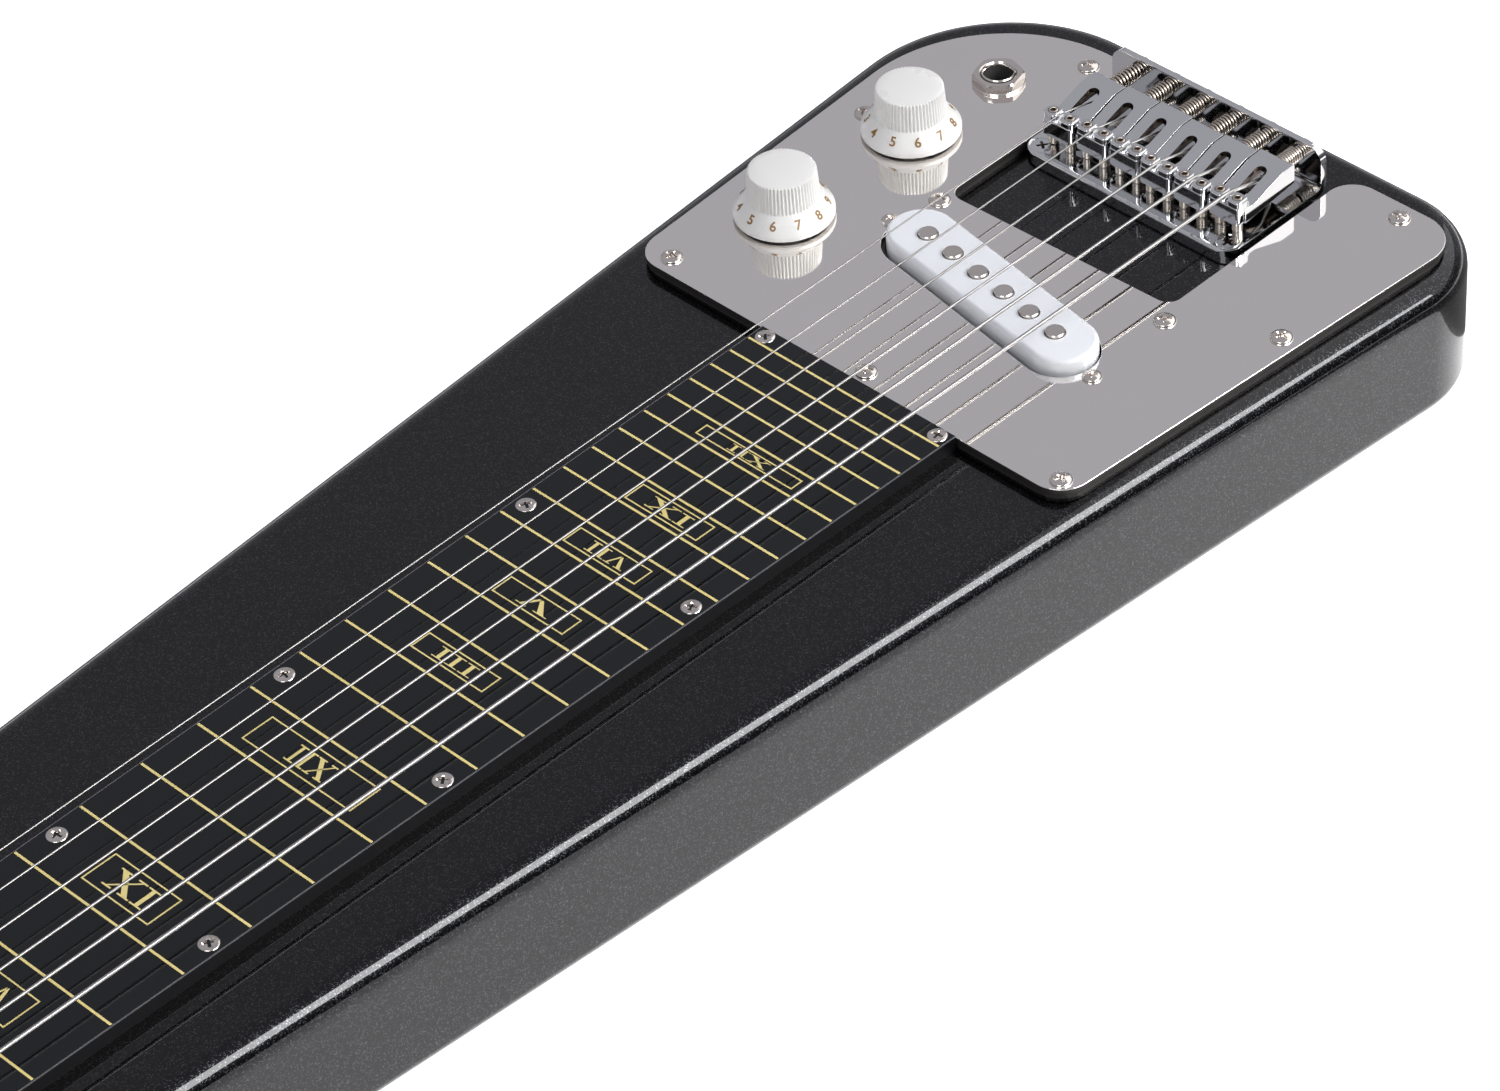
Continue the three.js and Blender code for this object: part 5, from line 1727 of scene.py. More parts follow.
@dataclass
class Jack:
    """The output jack with its washer and hexagon nut."""

    x: float = 581.8
    y: float = 60.5
    barrel_radius: float = 4.7
    bore_radius: float = 3.7
    mouth_radius: float = 4.3
    washer_radius: float = 7.3
    washer_height: float = 0.7
    nut_corner: float = 7.2
    nut_height: float = 2.2
    rim_rise: float = 0.4
    body_radius: float = 8.0
    body_top: float = 38.5
    depth: float = 31.0
    floor: float = 2.0
    turn: float = math.radians(14.5)

    def _nut(self) -> None:
        """Builds the washer and the nut over it."""
        low = LAYOUT.plate_top
        step = low + self.washer_height
        top = step + self.nut_height
        bore, wide = self.barrel_radius + LAYOUT.clearance / 2, self.washer_radius
        chamfer = 0.15
        around = [
            (bore, step), (bore, low), (wide - chamfer, low), (wide, low + chamfer),
            (wide, step - chamfer), (wide - chamfer, step),
        ]
        washer = [(steady(radius), z) for radius, z in around]

        def flats(limit: float) -> Shape:
            return lambda a: min(hexagon_radius(a, self.nut_corner), limit)

        nut = [
            (steady(bore), top - 0.2), (steady(bore), step + 0.02), (flats(7.4), step + 0.02),
            (flats(7.4), top - 0.4), (flats(6.6), top), (steady(bore + 0.35), top),
        ]
        solid = Solid()
        for rows in (washer, nut):
            drawn = [level(radius, z, turns(72)) for radius, z in rows]
            solid.rings(drawn, shift(self.x, self.y) @ turned_by(self.turn), hoop=True)
        settle(solid.object("jack_hex_nut", 25), NICKEL, ["jack_nut"])

    def _socket(self) -> None:
        """Builds the barrel and its housing."""
        top = LAYOUT.plate_top + self.washer_height + self.nut_height + self.rim_rise
        floor = top - self.depth
        low = floor - self.floor
        wide, shelf = self.body_radius, self.body_top
        tube, bore = self.barrel_radius, self.bore_radius
        profile = [
            (0, low), (wide - 0.5, low), (wide, low + 0.5), (wide, shelf - 0.4), (wide - 0.4, shelf),
            (tube, shelf), (tube, top - 0.25), (tube - 0.2, top), (self.mouth_radius, top),
            (bore + 0.1, top - 0.55), (bore, top - 0.9), (bore, floor), (0, floor),
        ]
        barrel = Solid().turned(profile, shift(self.x, self.y), 48).object("jack_barrel")
        axis = Vector((self.x, self.y))

        def inside(centre: Vector) -> bool:
            return (centre.xy - axis).length < bore + 0.02 and floor - 0.1 < centre.z < top - 1

        # Partly painted shade: the bore's walls below the mouth take the dark fibre finish, for the dark body
        # inside the jack and the shade down the bore.
        line_faces(barrel, FIBRE, inside)
        settle(barrel, NICKEL, ["jack_socket"])

    def build(self) -> None:
        """Builds the jack."""
        self._nut()
        self._socket()


# Bridge


@dataclass
class Bridge:
    """The bent bridge plate with six adjustable saddles."""

    front_x: float = 563.9
    back_x: float = 603.0
    half_width: float = 36.4
    middle: float = 0.1
    thickness: float = 2.0
    lip_thickness: float = 2.1
    lip_top: float = 55.7
    riser_low: float = 40.0
    riser_inset: float = 0.5
    front_corner: float = 5.0
    front_round: float = 1.0
    lip_corner: float = 4.5
    lip_outer_round: float = 0.55
    lip_inner_round: float = 0.2
    bend: float = 1.6
    string_hole: float = 1.7
    screw_x: float = 568.3
    screw_from_edge: float = 4.1
    screw_head: float = 3.2
    screw_sink: float = 0.25
    intonation_z: float = 51.4
    intonation_radius: float = 1.4
    screw_head_radius: float = 2.6
    screw_head_length: float = 2.0
    thread: float = 0.5
    reach_into_saddle: float = 3.0
    coil_radius: float = 2.1
    coil_wire: float = 0.34
    coil_turns: float = 7.5

    def _sheet_rows(self) -> list[tuple[Vector, Vector, float]]:
        """Returns the sheet's path as inner point, outer step and half-width in turn."""
        rows: list[tuple[Vector, Vector, float]] = []
        top = LAYOUT.plate_top
        lip_front = self.back_x - self.lip_thickness
        corner = self.front_corner
        soft = self.front_round
        places = [soft * (1 - math.cos(math.pi / 2 * k / 6)) for k in range(7)]
        places += [soft + (corner - soft) * k / 7 for k in range(1, 8)]
        for along in places:
            width = self.half_width - corner + math.sqrt(corner ** 2 - (corner - along) ** 2)
            fall = soft - math.sqrt(soft ** 2 - (soft - min(soft, along)) ** 2)
            step = Vector((0, 0, fall / self.thickness - 1))
            rows.append((Vector((self.front_x + along, 0, top - fall)), step, width))
        for share in (0.35, 0.7):
            x = self.front_x + corner + (lip_front - self.bend - self.front_x - corner) * share
            rows.append((Vector((x, 0, top)), Vector((0, 0, -1)), self.half_width))
        quarter = [math.pi / 2 * k / 8 for k in range(9)]
        for angle in quarter:
            step = Vector((math.sin(angle), 0, -math.cos(angle)))
            x = lip_front - self.bend + self.bend * step.x
            rows.append((Vector((x, 0, top + self.bend * (1 + step.z))), step, self.half_width))
        for angle in quarter:
            width = self.half_width - self.lip_corner * (1 - math.cos(angle))
            z = self.lip_top - self.lip_corner * (1 - math.sin(angle))
            outer, inner = (self._worn(z, radius) for radius in (self.lip_outer_round, self.lip_inner_round))
            step = Vector((1 - (outer + inner) / self.lip_thickness, 0, 0))
            rows.append((Vector((lip_front + inner, 0, z)), step, width))
        return rows

    def _worn(self, z: float, radius: float) -> float:
        """Returns how much a rounding of the lip's top edge takes off at a height."""
        rise = max(0.0, z - self.lip_top + radius)
        return radius - math.sqrt(radius ** 2 - rise ** 2)

    def _plate(self) -> Object:
        """Returns the bent sheet before its holes are cut."""
        loops = []
        columns = 12
        for inner, step, width in self._sheet_rows():
            thick = self.thickness + (self.lip_thickness - self.thickness) * step.x
            outer = inner + step * thick
            shares = [(2 * k / columns - 1) * width for k in range(columns + 1)]
            near = [Vector((inner.x, self.middle + s, inner.z)) for s in shares]
            far = [Vector((outer.x, self.middle + s, outer.z)) for s in shares[::-1]]
            loops.append([*near, *far])
        sheet = Solid().rings(loops).object("bridge_sheet")
        return soften(sheet, 0.48)

    def _holes(self) -> Solid:
        """Returns the solid that is cut from the sheet."""
        cut = Solid()
        low, high, top = self.riser_low - 2, LAYOUT.plate_top + 2.6, LAYOUT.plate_top
        rod = circle(0, 0, self.intonation_radius + LAYOUT.clearance, 20)
        for index, hole in enumerate(LAYOUT.string_bores(self.string_hole)):
            cut.slab(hole, square_edge(low, high))
            place = shift(self.back_x - 5, LAYOUT.bridge_y(index), self.intonation_z) @ ALONG_X
            cut.slab(rod, square_edge(0, 8), matrix=place)
        shank, head = 1.9, self.screw_head + 0.1
        cone = [(0, low), (shank, low), (shank, top - 1.5), (head, top + 0.01), (head, high), (0, high)]
        for x, y in self.screw_places():
            cut.turned(cone, shift(x, y))
        return cut

    def screw_places(self) -> list[Point2]:
        """Returns the two fixing screws' places, bass side first."""
        out = self.half_width - self.screw_from_edge
        return [(self.screw_x, self.middle + side.value * out) for side in Side]

    def _base(self) -> None:
        """Builds the sheet and the riser under it."""
        sheet = combine(self._plate(), self._holes(), "DIFFERENCE")
        even_normals(sheet)
        settle(sheet, CHROME, ["bridge_plate"])
        inset = self.riser_inset
        low = (self.front_x + inset, self.middle - self.half_width + inset)
        high = (self.back_x - inset, self.middle + self.half_width - inset)
        outline = rectangle(low, high, self.front_corner - inset)
        edge = soft_edge(self.riser_low, LAYOUT.plate_bottom, 0.2, 0.0, 2)
        riser = Solid().slab(outline, edge, LAYOUT.string_bores(self.string_hole))
        settle(riser.object("bridge_riser"), CHROME)

    def _fixing_screws(self) -> None:
        """Builds the two countersunk screws."""
        kind = CrossScrew(self.screw_head, head_height=0.2, rim=0.02, reach=1.75, arm=0.38, length=14)
        for number, (x, y) in enumerate(self.screw_places(), 1):
            seat = shift(x, y, LAYOUT.plate_top - self.screw_sink)
            place = seat @ turned_by(0.5 + number)
            screw = kind.draw(Solid(), place).object(f"bridge_fixing_screw_{number}")
            kind.line(screw, [place.translation])
            settle(screw, CHROME, [f"bridge_screw_{number}"])

    def _intonation(self, index: int, saddle_rear: float) -> None:
        """Builds one intonation screw and its spring.

        Args:
            index: The string's place in the set.
            saddle_rear: X of the saddle's rear face.
        """
        number = index + 1
        y = LAYOUT.bridge_y(index)
        tip = saddle_rear - 1.6 - self.reach_into_saddle
        length = self.back_x + LAYOUT.clearance - tip
        radius = self.intonation_radius
        profile: list[Point2] = [(0, 0), (radius * 0.7, 0)]
        for k in range(int((length - 1.2) / self.thread)):
            base = 0.3 + self.thread * k
            profile += [(radius - 0.14, base), (radius, base + 0.2), (radius, base + 0.3)]
        head, thick = self.screw_head_radius, self.screw_head_length
        profile += [
            (radius, length), (head - 0.2, length), (head, length + 0.2), (head, length + thick * 0.6),
            (head * 0.8, length + thick * 0.92), (head * 0.4, length + thick), (0, length + thick),
        ]
        place = shift(tip, y, self.intonation_z) @ ALONG_X
        screw = Solid().turned(profile, place, 28).object(f"intonation_rod_{number}")
        across = rectangle((-0.35, -head - 1), (0.35, head + 1))
        slot = Solid().slab(across, square_edge(length + 1.3, length + 4), matrix=place)
        combine(screw, slot, "DIFFERENCE")
        even_normals(screw, 30)
        # Painted shade: the screw in front of the lip, inside the saddle and the spring, takes the dark brown
        # finish.
        line_faces(screw, PAINTED_SHADE_BROWN, lambda c: c.x < self.back_x - self.lip_thickness)
        settle(screw, NICKEL, [f"intonation_screw_{number}"], f"intonation_{number}")
        gap = self.coil_wire + 0.05
        start, end = saddle_rear + gap, self.back_x - self.lip_thickness - gap
        values = {
            "Turns": self.coil_turns,
            "Radius": self.coil_radius,
            "Length": end - start,
            "Wire": self.coil_wire,
            "Place": (start, y, self.intonation_z),
            "Material": BRASSY,
        }
        coil = COIL.made.run(f"saddle_spring_{number}", values)
        ends = (Vector((x, y, self.intonation_z)) for x in (start, end))
        stretch = (Carrier.INSTRUMENT.value, *ends)
        settle(coil, BRASSY, [f"intonation_spring_{number}"], f"saddle_{number}_unit", stretch)

    def build(self) -> None:
        """Builds the bridge."""
        self._base()
        self._fixing_screws()
        maker = Saddle()
        for index in range(LAYOUT.strings):
            maker.build(index)
            self._intonation(index, LAYOUT.crest(index) + maker.rear)


@dataclass
class Saddle:
    """A saddle of bent sheet with two bosses for its height screws, drawn about its crest."""

    front: float = -2.0
    rear: float = 19.8
    side_front: float = 0.2
    width: float = 10.85
    top: float = 54.5
    drop: float = 3.5
    slope_end: float = 4.1
    flat_start: float = 14.7
    front_low: float = 46.6
    rear_low: float = 48.5
    wall: float = 1.2
    roof: float = 1.3
    rear_wall: float = 1.6
    rim: float = 0.08
    boss_half: float = 2.3
    boss_corner: float = 1.35
    boss_spread: float = 2.95
    block_top: float = 52.2
    boss_top: float = 53.9
    slot_start: float = 2.7
    block_end: float = 2.7
    slot_end: float = 14.1
    slot_half: float = 1.8
    notch_half: float = 0.75
    screw_z: float = 51.4
    screw_bore: float = 1.7
    foot_z: float = 43.4
    screw_top: float = 54.15

    def _outer(self) -> Object:
        """Returns the bent shell before it is hollowed."""
        low_rise = (self.rear_low - self.front_low) / (self.rear - self.side_front)
        profile = [
            Corner(self.side_front, self.front_low),
            Corner(self.rear, self.front_low + low_rise * (self.rear - self.side_front)),
            Corner(self.rear, self.top, 0.8),
            Corner(self.flat_start, self.top, 6.0),
            Corner(self.slope_end, self.top - self.drop, 3.0),
            Corner(self.side_front, self.top - self.drop),
        ]
        half = self.width / 2
        edge = soft_edge(-half, half, self.rim, self.rim, 3)
        return Solid().slab(rounded(profile, 5), edge, matrix=AGAINST_Y).object("saddle")

    def _front_block(self) -> Object:
        """Returns the block across the front with its two bosses."""
        solid = Solid()
        half = self.width / 2 - 0.35
        block = rectangle((self.front - 0.45, -half), (self.block_end, half), 0.9)
        solid.slab(block, soft_edge(self.front_low, self.block_top, 0.4, 0.3, 4))
        made = solid.object("front_block")
        for side in Side:
            r, y = self.boss_half, side.value * self.boss_spread
            pad = rectangle((-r, y - r), (r, y + r), self.boss_corner)
            boss = Solid().slab(pad, soft_edge(self.block_top - 2, self.boss_top, 0.55, 0.0, 4))
            combine(made, boss, "UNION")
        return made

    def _cuts(self) -> Object:
        """Returns the hollow, the slot for the string and the bore for the intonation screw."""
        cut = Solid()
        half = self.width / 2 - self.wall
        hollow = [
            Corner(self.slope_end + 0.6, self.front_low - 2),
            Corner(self.rear - self.rear_wall, self.front_low - 2),
            Corner(self.rear - self.rear_wall, self.top - self.roof),
            Corner(self.flat_start, self.top - self.roof),
            Corner(self.slope_end + 0.6, self.top - self.drop - self.roof),
        ]
        cut.slab(rounded(hollow), square_edge(-half, half), matrix=AGAINST_Y)
        made = cut.object("saddle_cuts")
        r = self.slot_half
        slot = rounded([
            Corner(self.slot_end, -r, r * 0.98), Corner(self.slot_end, r, r * 0.98),
            Corner(self.slot_start + 3.2, r, 1.5), Corner(self.slot_start, 0.6, 0.5),
            Corner(self.slot_start, -0.6, 0.5), Corner(self.slot_start + 3.2, -r, 1.5),
        ], 8)
        opening = Solid().slab(slot, square_edge(self.front_low - 1, self.top + 1))
        combine(made, opening, "UNION")
        place = shift(self.rear - 3, 0, self.screw_z) @ ALONG_X
        bore = Solid().slab(circle(0, 0, self.screw_bore, 24), square_edge(0, 4), matrix=place)
        combine(made, bore, "UNION")
        return made

    def _holes(self) -> Solid:
        """Returns the screw holes through the bosses."""
        cut = Solid()
        for side in Side:
            hole = circle(0, side.value * self.boss_spread, 1.5)
            cut.slab(hole, square_edge(self.front_low - 1, self.boss_top + 1))
        return cut

    def master(self) -> Mesh:
        """Returns the mesh that every saddle shares."""
        outer, cuts = self._outer(), self._cuts()
        # The walls left by the hollow, the slot and the bore take the dark brown finish: painted shade inside
        # the saddle.
        for solid, finish in ((outer, CHROME), (cuts, PAINTED_SHADE_BROWN)):
            solid.data.materials.clear()
            solid.data.materials.append(finish)
        shell = combine(outer, cuts, "DIFFERENCE")
        combine(shell, self._front_block(), "UNION")
        combine(shell, self._holes(), "DIFFERENCE")
        half = self.notch_half
        notch = rectangle((self.front - 1, -half), (self.slope_end + 1, half))
        notch_edge = square_edge(LAYOUT.string_z - half, self.top + 1)
        combine(shell, Solid().slab(notch, notch_edge), "DIFFERENCE")
        even_normals(shell)
        mesh = shell.data.copy()
        bpy.data.objects.remove(shell)
        return mesh

    def build(self, index: int) -> None:
        """Builds one saddle with its two height screws.

        Args:
            index: The string's place in the set.
        """
        if not hasattr(self, "_mesh"):
            self._mesh = self.master()
        number = index + 1
        carrier = f"saddle_{number}_unit"
        place = shift(LAYOUT.crest(index), LAYOUT.bridge_y(index))
        mesh = self._mesh.copy()
        mesh.transform(place)
        settle(linked(f"saddle_block_{number}", mesh), CHROME, [f"saddle_{number}"], carrier)
        screws = Solid()
        sockets = Solid()
        kind = SocketScrew(height=self.screw_top - self.foot_z)
        for side in Side:
            spot = place @ shift(0, side.value * self.boss_spread, self.foot_z)
            kind.draw(screws, spot)
            # Painted shade: a dark disc fills the floor of each hex socket.
            base, radius = kind.height - kind.socket_depth - 0.1, kind.socket * 0.84
            sockets.turned([(0, base), (radius, base), (radius, base + 0.5), (0, base + 0.5)], spot, 6)
        for name, solid, finish in (("screws", screws, BRASSY), ("screw_sockets", sockets, SOCKET_SHADE)):
            settle(solid.object(f"height_{name}_{number}", 28), finish, carrier=carrier)


# Strings


@dataclass
class Strings:
    """Six strings from the tuner posts over the nut and the saddles down through the body."""

    crest_bend: float = 2.2
    dive: Point2 = (13.0, 3.4)
    ball_z: float = 5.0
    ball_radius: float = 1.9
    ball_length: float = 3.0
    sides: int = 12
    first_wound: int = 3
    winds: float = 3.0
    wind_steps: int = 20

    def _path(self, index: int, tuners: "Tuners") -> list[Vector]:
        """Returns the points that one string follows."""
        radius = LAYOUT.string_radii[index]
        post_x, post_y = tuners.post(index)
        coil = tuners.post_radius + radius + 0.02
        side = -math.copysign(1.0, post_y)
        hole_z = tuners.hole_z
        through = (tuners.post_radius + 1.2, 0.0, 0.4 - tuners.post_radius)
        path = [Vector((post_x, post_y + side * past, hole_z)) for past in through]
        pitch = 2 * radius + 0.03
        for k in range(int(self.winds * self.wind_steps) + 1):
            angle = math.pi / 2 + 2 * math.pi * k / self.wind_steps
            x = post_x + coil * math.cos(angle) * min(1.0, k / 4)
            y = post_y - side * coil * math.sin(angle)
            path.append(Vector((x, y, hole_z - 1.0 - pitch * k / self.wind_steps)))
        for x in (-LAYOUT.nut_thickness, 0.0):
            path.append(Vector((x, LAYOUT.nut_y(index), LAYOUT.string_z)))
        crest = Vector((LAYOUT.crest(index), LAYOUT.bridge_y(index), LAYOUT.string_z))
        bend = self.crest_bend
        falls = [(-bend, 0.0)]
        falls += [(bend * (k / 3 - 1), 0.55 * (k / 6) ** 2) for k in range(1, 6)]
        falls += [(self.dive[0] * share, self.dive[1] * share) for share in (0.6, 1.0)]
        path += [crest + Vector((along, 0, -fall)) for along, fall in falls]
        hole_x, top = LAYOUT.string_hole_x, LAYOUT.plate_top
        for x, z in ((hole_x - 0.3, top + 3.2), (hole_x, top + 0.5), (hole_x, self.ball_z - 1)):
            path.append(Vector((x, crest.y, z)))
        return path

    def build(self, tuners: "Tuners") -> None:
        """Builds the strings and their ball ends.

        Args:
            tuners: The tuners that the strings wind on.
        """
        for index in range(LAYOUT.strings):
            number = index + 1
            solid = Solid().tube(self._path(index, tuners), LAYOUT.string_radii[index], self.sides)
            finish = WOUND_WIRE if index >= self.first_wound else PLAIN_WIRE
            strand = solid.object(f"strand_{number}", 60)
            settle(strand, finish, [f"string_{number}"])
        balls = Solid()
        r, half = self.ball_radius, self.ball_length / 2
        upper = [(r - 0.35, 0.3), (r, 0.6), (r, half - 0.3), (r - 0.3, half), (0, half)]
        profile = [(radius, -z) for radius, z in upper[::-1]] + upper
        for index in range(LAYOUT.strings):
            spot = shift(LAYOUT.string_hole_x, LAYOUT.bridge_y(index), self.ball_z - half - 0.3)
            balls.turned(profile, spot, 24)
        settle(balls.object("string_ball_ends"), BRASSY)
        dress("string_anchor", NICKEL)


# Nut and tuners


@dataclass
class Nut:
    """The metal nut with a slot for each string and a foot behind it."""

    half_width: float = 26.6
    corner: float = 0.6
    crest_round: float = 0.8
    above_string: float = 1.0
    foot_length: float = 8.0
    foot_thickness: float = 2.5
    slot_clearance: float = 0.12
    foot_screw: Point2 = (-9.2, 17.0)

    def build(self) -> None:
        """Builds the nut."""
        top, thick = LAYOUT.string_z + self.above_string, LAYOUT.nut_thickness
        block = rectangle((-thick, -self.half_width), (0, self.half_width), self.corner)
        bar = Solid().slab(block, soft_edge(LAYOUT.deck, top, self.crest_round, 0.0, 4)).object("nut_bar")
        sole = rectangle((-thick - self.foot_length, -self.half_width), (-thick / 2, self.half_width), 1.2)
        edge = soft_edge(LAYOUT.deck, LAYOUT.deck + self.foot_thickness, 0.4, 0.0, 3)
        combine(bar, Solid().slab(sole, edge), "UNION")
        cuts = Solid()
        for index in range(LAYOUT.strings):
            half = LAYOUT.string_radii[index] + self.slot_clearance
            y = LAYOUT.nut_y(index)
            groove = rectangle((-thick - 1, y - half), (1, y + half))
            cuts.slab(groove, square_edge(LAYOUT.string_z - half, top + 1))
        combine(bar, cuts, "DIFFERENCE", crossing=True)
        even_normals(bar)
        settle(bar, CHROME, ["nut"])
        x, y = self.foot_screw
        places = [Vector((x, s.value * y, LAYOUT.deck + self.foot_thickness)) for s in Side]
        kind = CrossScrew(2.4, head_height=0.9, reach=1.3, arm=0.3, depth=0.7, length=8)
        SCATTER.screws("nut_foot_screws", kind, places)


@dataclass
class Tuners:
    """Three geared tuners on each side of the head, on one strip a side."""

    first_behind_nut: float = 48.0
    pitch: float = 36.0
    row_y: float = 22.0
    post_radius: float = 3.0
    post_top: float = 50.0
    hole_z: float = 46.5
    gear_radius: float = 6.3
    gear_top: float = 13.4
    gear_height: float = 5.0
    teeth: int = 14
    worm_radius: float = 2.7
    worm_half: float = 4.6
    worm_threads: int = 5
    worm_depth: float = 0.7
    eye_radius: float = 0.95
    bore_gap: float = 0.12
    washer_radius: float = 5.4
    washer_height: float = 0.7
    nut_corner: float = 5.0
    nut_height: float = 2.0
    shaft_radius: float = 1.4
    strip_thickness: float = 1.2
    strip_half_width: float = 8.0
    strip_past_post: float = 17.0
    ear_thickness: float = 1.6
    ear_half_width: float = 3.0
    ear_below: float = 2.6
    button_start: float = 36.0
    button_length: float = 12.0
    button_half_height: float = 8.0
    button_half_thickness: float = 3.6

    @property
    def worm_offset(self) -> float:
        """Returns how far behind its post a worm lies."""
        return self.gear_radius + self.worm_radius + LAYOUT.clearance

    def post(self, index: int) -> Point2:
        """Returns a string's post place."""
        order = index if index < LAYOUT.strings / 2 else LAYOUT.strings - 1 - index
        side = 1 if index < LAYOUT.strings / 2 else -1
        return -self.first_behind_nut - order * self.pitch, side * self.row_y

    def worm_place(self, index: int) -> tuple[float, float]:
        """Returns X and Z of a tuner's worm."""
        x, _ = self.post(index)
        return x - self.worm_offset, self.gear_top - self.gear_height / 2

    def _post(self, index: int) -> None:
        """Builds one post with its gear and string eye."""
        number = index + 1
        x, y = self.post(index)
        gear_low = self.gear_top - self.gear_height
        r, top = self.post_radius, self.post_top
        profile = [
            (0, gear_low - 1), (r - 0.3, gear_low - 1), (r, gear_low - 0.7), (r, top - 6.0),
            (r - 0.45, top - 5.2), (r - 0.5, top - 2.6), (r, top - 1.8),
            (r, top - 0.5), (r - 0.5, top), (0, top),
        ]
        stem = Solid().turned(profile, shift(x, y), 36).object(f"tuning_post_{number}")
        rim = []
        root = 0.82
        for tooth in turns(self.teeth):
            for share, radius in ((0.0, root), (0.18, root), (0.34, 1.0), (0.62, 1.0), (0.8, root)):
                angle = tooth + 2 * math.pi * share / self.teeth
                rim.append(Vector(polar(self.gear_radius * radius, angle, x, y)))
        gear = Solid().slab(rim, soft_edge(gear_low, self.gear_top, 0.25, 0.25, 1)).object("gear")
        combine(stem, gear, "UNION")
        place = shift(x, y, self.hole_z) @ ALONG_Y
        eye = Solid().slab(circle(0, 0, self.eye_radius, 20), square_edge(-6, 6), matrix=place)
        combine(stem, eye, "DIFFERENCE")
        even_normals(stem, SHARP_DEGREES)
        settle(stem, NICKEL, [f"tuner_post_{number}"], f"tuner_{number}_post")

    def _collar(self, solid: Solid, index: int) -> None:
        """Adds the bushing and washer round one post on the head's top."""
        x, y = self.post(index)
        low, step = LAYOUT.head_high, LAYOUT.head_high + self.washer_height
        bore = circle(x, y, self.post_radius + self.bore_gap)
        solid.slab(circle(x, y, self.washer_radius, 40), soft_edge(low, step, 0.3, 0.0, 2), [bore])
        nut = [Vector(polar(hexagon_radius(a, self.nut_corner), a, x, y)) for a in turns(48)]
        solid.slab(nut, soft_edge(step, step + self.nut_height, 0.4, 0.0, 2), [bore])

    def _button(self, index: int) -> None:
        """Builds one worm, its shaft and its button."""
        number = index + 1
        _, y = self.post(index)
        side = math.copysign(1.0, y)
        x, z = self.worm_place(index)
        start = y - side * (self.worm_half + LAYOUT.clearance + self.ear_thickness + 1)
        middle = side * (self.button_start + self.button_length / 2)
        low, high = sorted((start, middle))
        radius, rod = self.worm_radius, self.shaft_radius
        root = radius - self.worm_depth
        worm_low, worm_high = y - self.worm_half, y + self.worm_half
        step = 2 * self.worm_half / self.worm_threads
        profile: list[Point2] = [(0, low), (rod, low), (rod, worm_low)]
        for k in range(self.worm_threads):
            base = worm_low + step * k
            profile += [(root, base + 0.1), (radius, base + step * 0.4),
                        (radius, base + step * 0.65), (root, base + step * 0.95)]
        profile += [(rod, worm_high), (rod, high), (0, high)]
        worm = Solid().turned(profile, shift(x, 0, z) @ ALONG_Y, 28).object(f"tuner_worm_{number}", 30)
        settle(worm, NICKEL, [f"tuner_button_{number}"], f"tuner_{number}_button")

        def oval(angle: float) -> list[Vector]:
            """Returns one row of points across the button."""
            squeeze = math.sin(angle) ** 0.55
            high = self.button_half_height * (0.30 + 0.70 * squeeze)
            thick = self.button_half_thickness * squeeze
            out = middle - side * math.cos(angle) * self.button_length / 2
            row = []
            for a in turns(32):
                c, s = (math.copysign(abs(part) ** 0.7, part) for part in (math.cos(a), math.sin(a)))
                row.append(Vector((x + thick * c, out, z + high * s)))
            return row

        ends = ([Vector((x, middle + way * side * self.button_length / 2, z))] for way in (-1, 1))
        first, last = ends
        rows = [first, *(oval(math.pi * k / 12) for k in range(1, 12)), last]
        button = Solid().rings(rows).object(f"tuner_grip_{number}", 60)
        settle(button, PLASTIC, carrier=f"tuner_{number}_button")

    def _strip(self, side: Side) -> None:
        """Builds one side's strip with its ears and screws."""
        half = LAYOUT.strings // 2
        indices = range(half) if side is Side.TREBLE else range(half, LAYOUT.strings)
        y = side.value * self.row_y
        xs = [self.post(i)[0] for i in indices]
        low = LAYOUT.head_low - self.strip_thickness
        outline = rectangle(
            (min(xs) - self.strip_past_post, y - self.strip_half_width),
            (max(xs) + self.strip_past_post - self.worm_offset, y + self.strip_half_width), 2.5,
        )
        holes = [circle(x, y, self.post_radius + LAYOUT.clearance, 32) for x in xs]
        name = side.name.lower()
        strip = Solid().slab(outline, soft_edge(low, LAYOUT.head_low, 0.0, 0.3, 2), holes)
        strip = strip.object(f"tuner_plate_{name}")
        ears = Solid()
        for i in indices:
            x, z = self.worm_place(i)
            root, tip, half = 0.6 - LAYOUT.head_low, self.ear_below - z, self.ear_half_width
            profile = rounded([
                Corner(x - half, root), Corner(x + half, root),
                Corner(x + half, tip, 2.4), Corner(x - half, tip, 2.4),
            ], 10)
            for reach in (-1, 1):
                inner = y + reach * (self.worm_half + LAYOUT.clearance)
                a, b = sorted((inner, inner + reach * self.ear_thickness))
                bore = circle(x, -z, self.shaft_radius + 0.2, 20)
                ears.slab(profile, soft_edge(a, b, 0.2, 0.2, 2), [bore], ALONG_Y)
        combine(strip, ears, "UNION")
        even_normals(strip)
        settle(strip, NICKEL, [f"tuner_strip_{name}"])
        screw_x = [x + self.pitch * 0.36 for x in xs[:-1]] + [min(xs) - 13.5]
        places = [Vector((x, y + dy, -low)) for x in screw_x for dy in (-5.4, 5.4)]
        kind = CrossScrew(1.9, head_height=0.8, reach=1.0, arm=0.25, depth=0.6, length=6)
        flip = Matrix.Rotation(math.pi, 4, "X") @ shift(0, -2 * y)
        SCATTER.screws(f"tuner_plate_screws_{name}", kind, places, turned=flip)

    def build(self) -> None:
        """Builds the tuners."""
        collars = Solid()
        for index in range(LAYOUT.strings):
            self._post(index)
            self._button(index)
            self._collar(collars, index)
        settle(collars.object("tuner_bushings"), NICKEL)
        for side in Side:
            self._strip(side)


# Studio


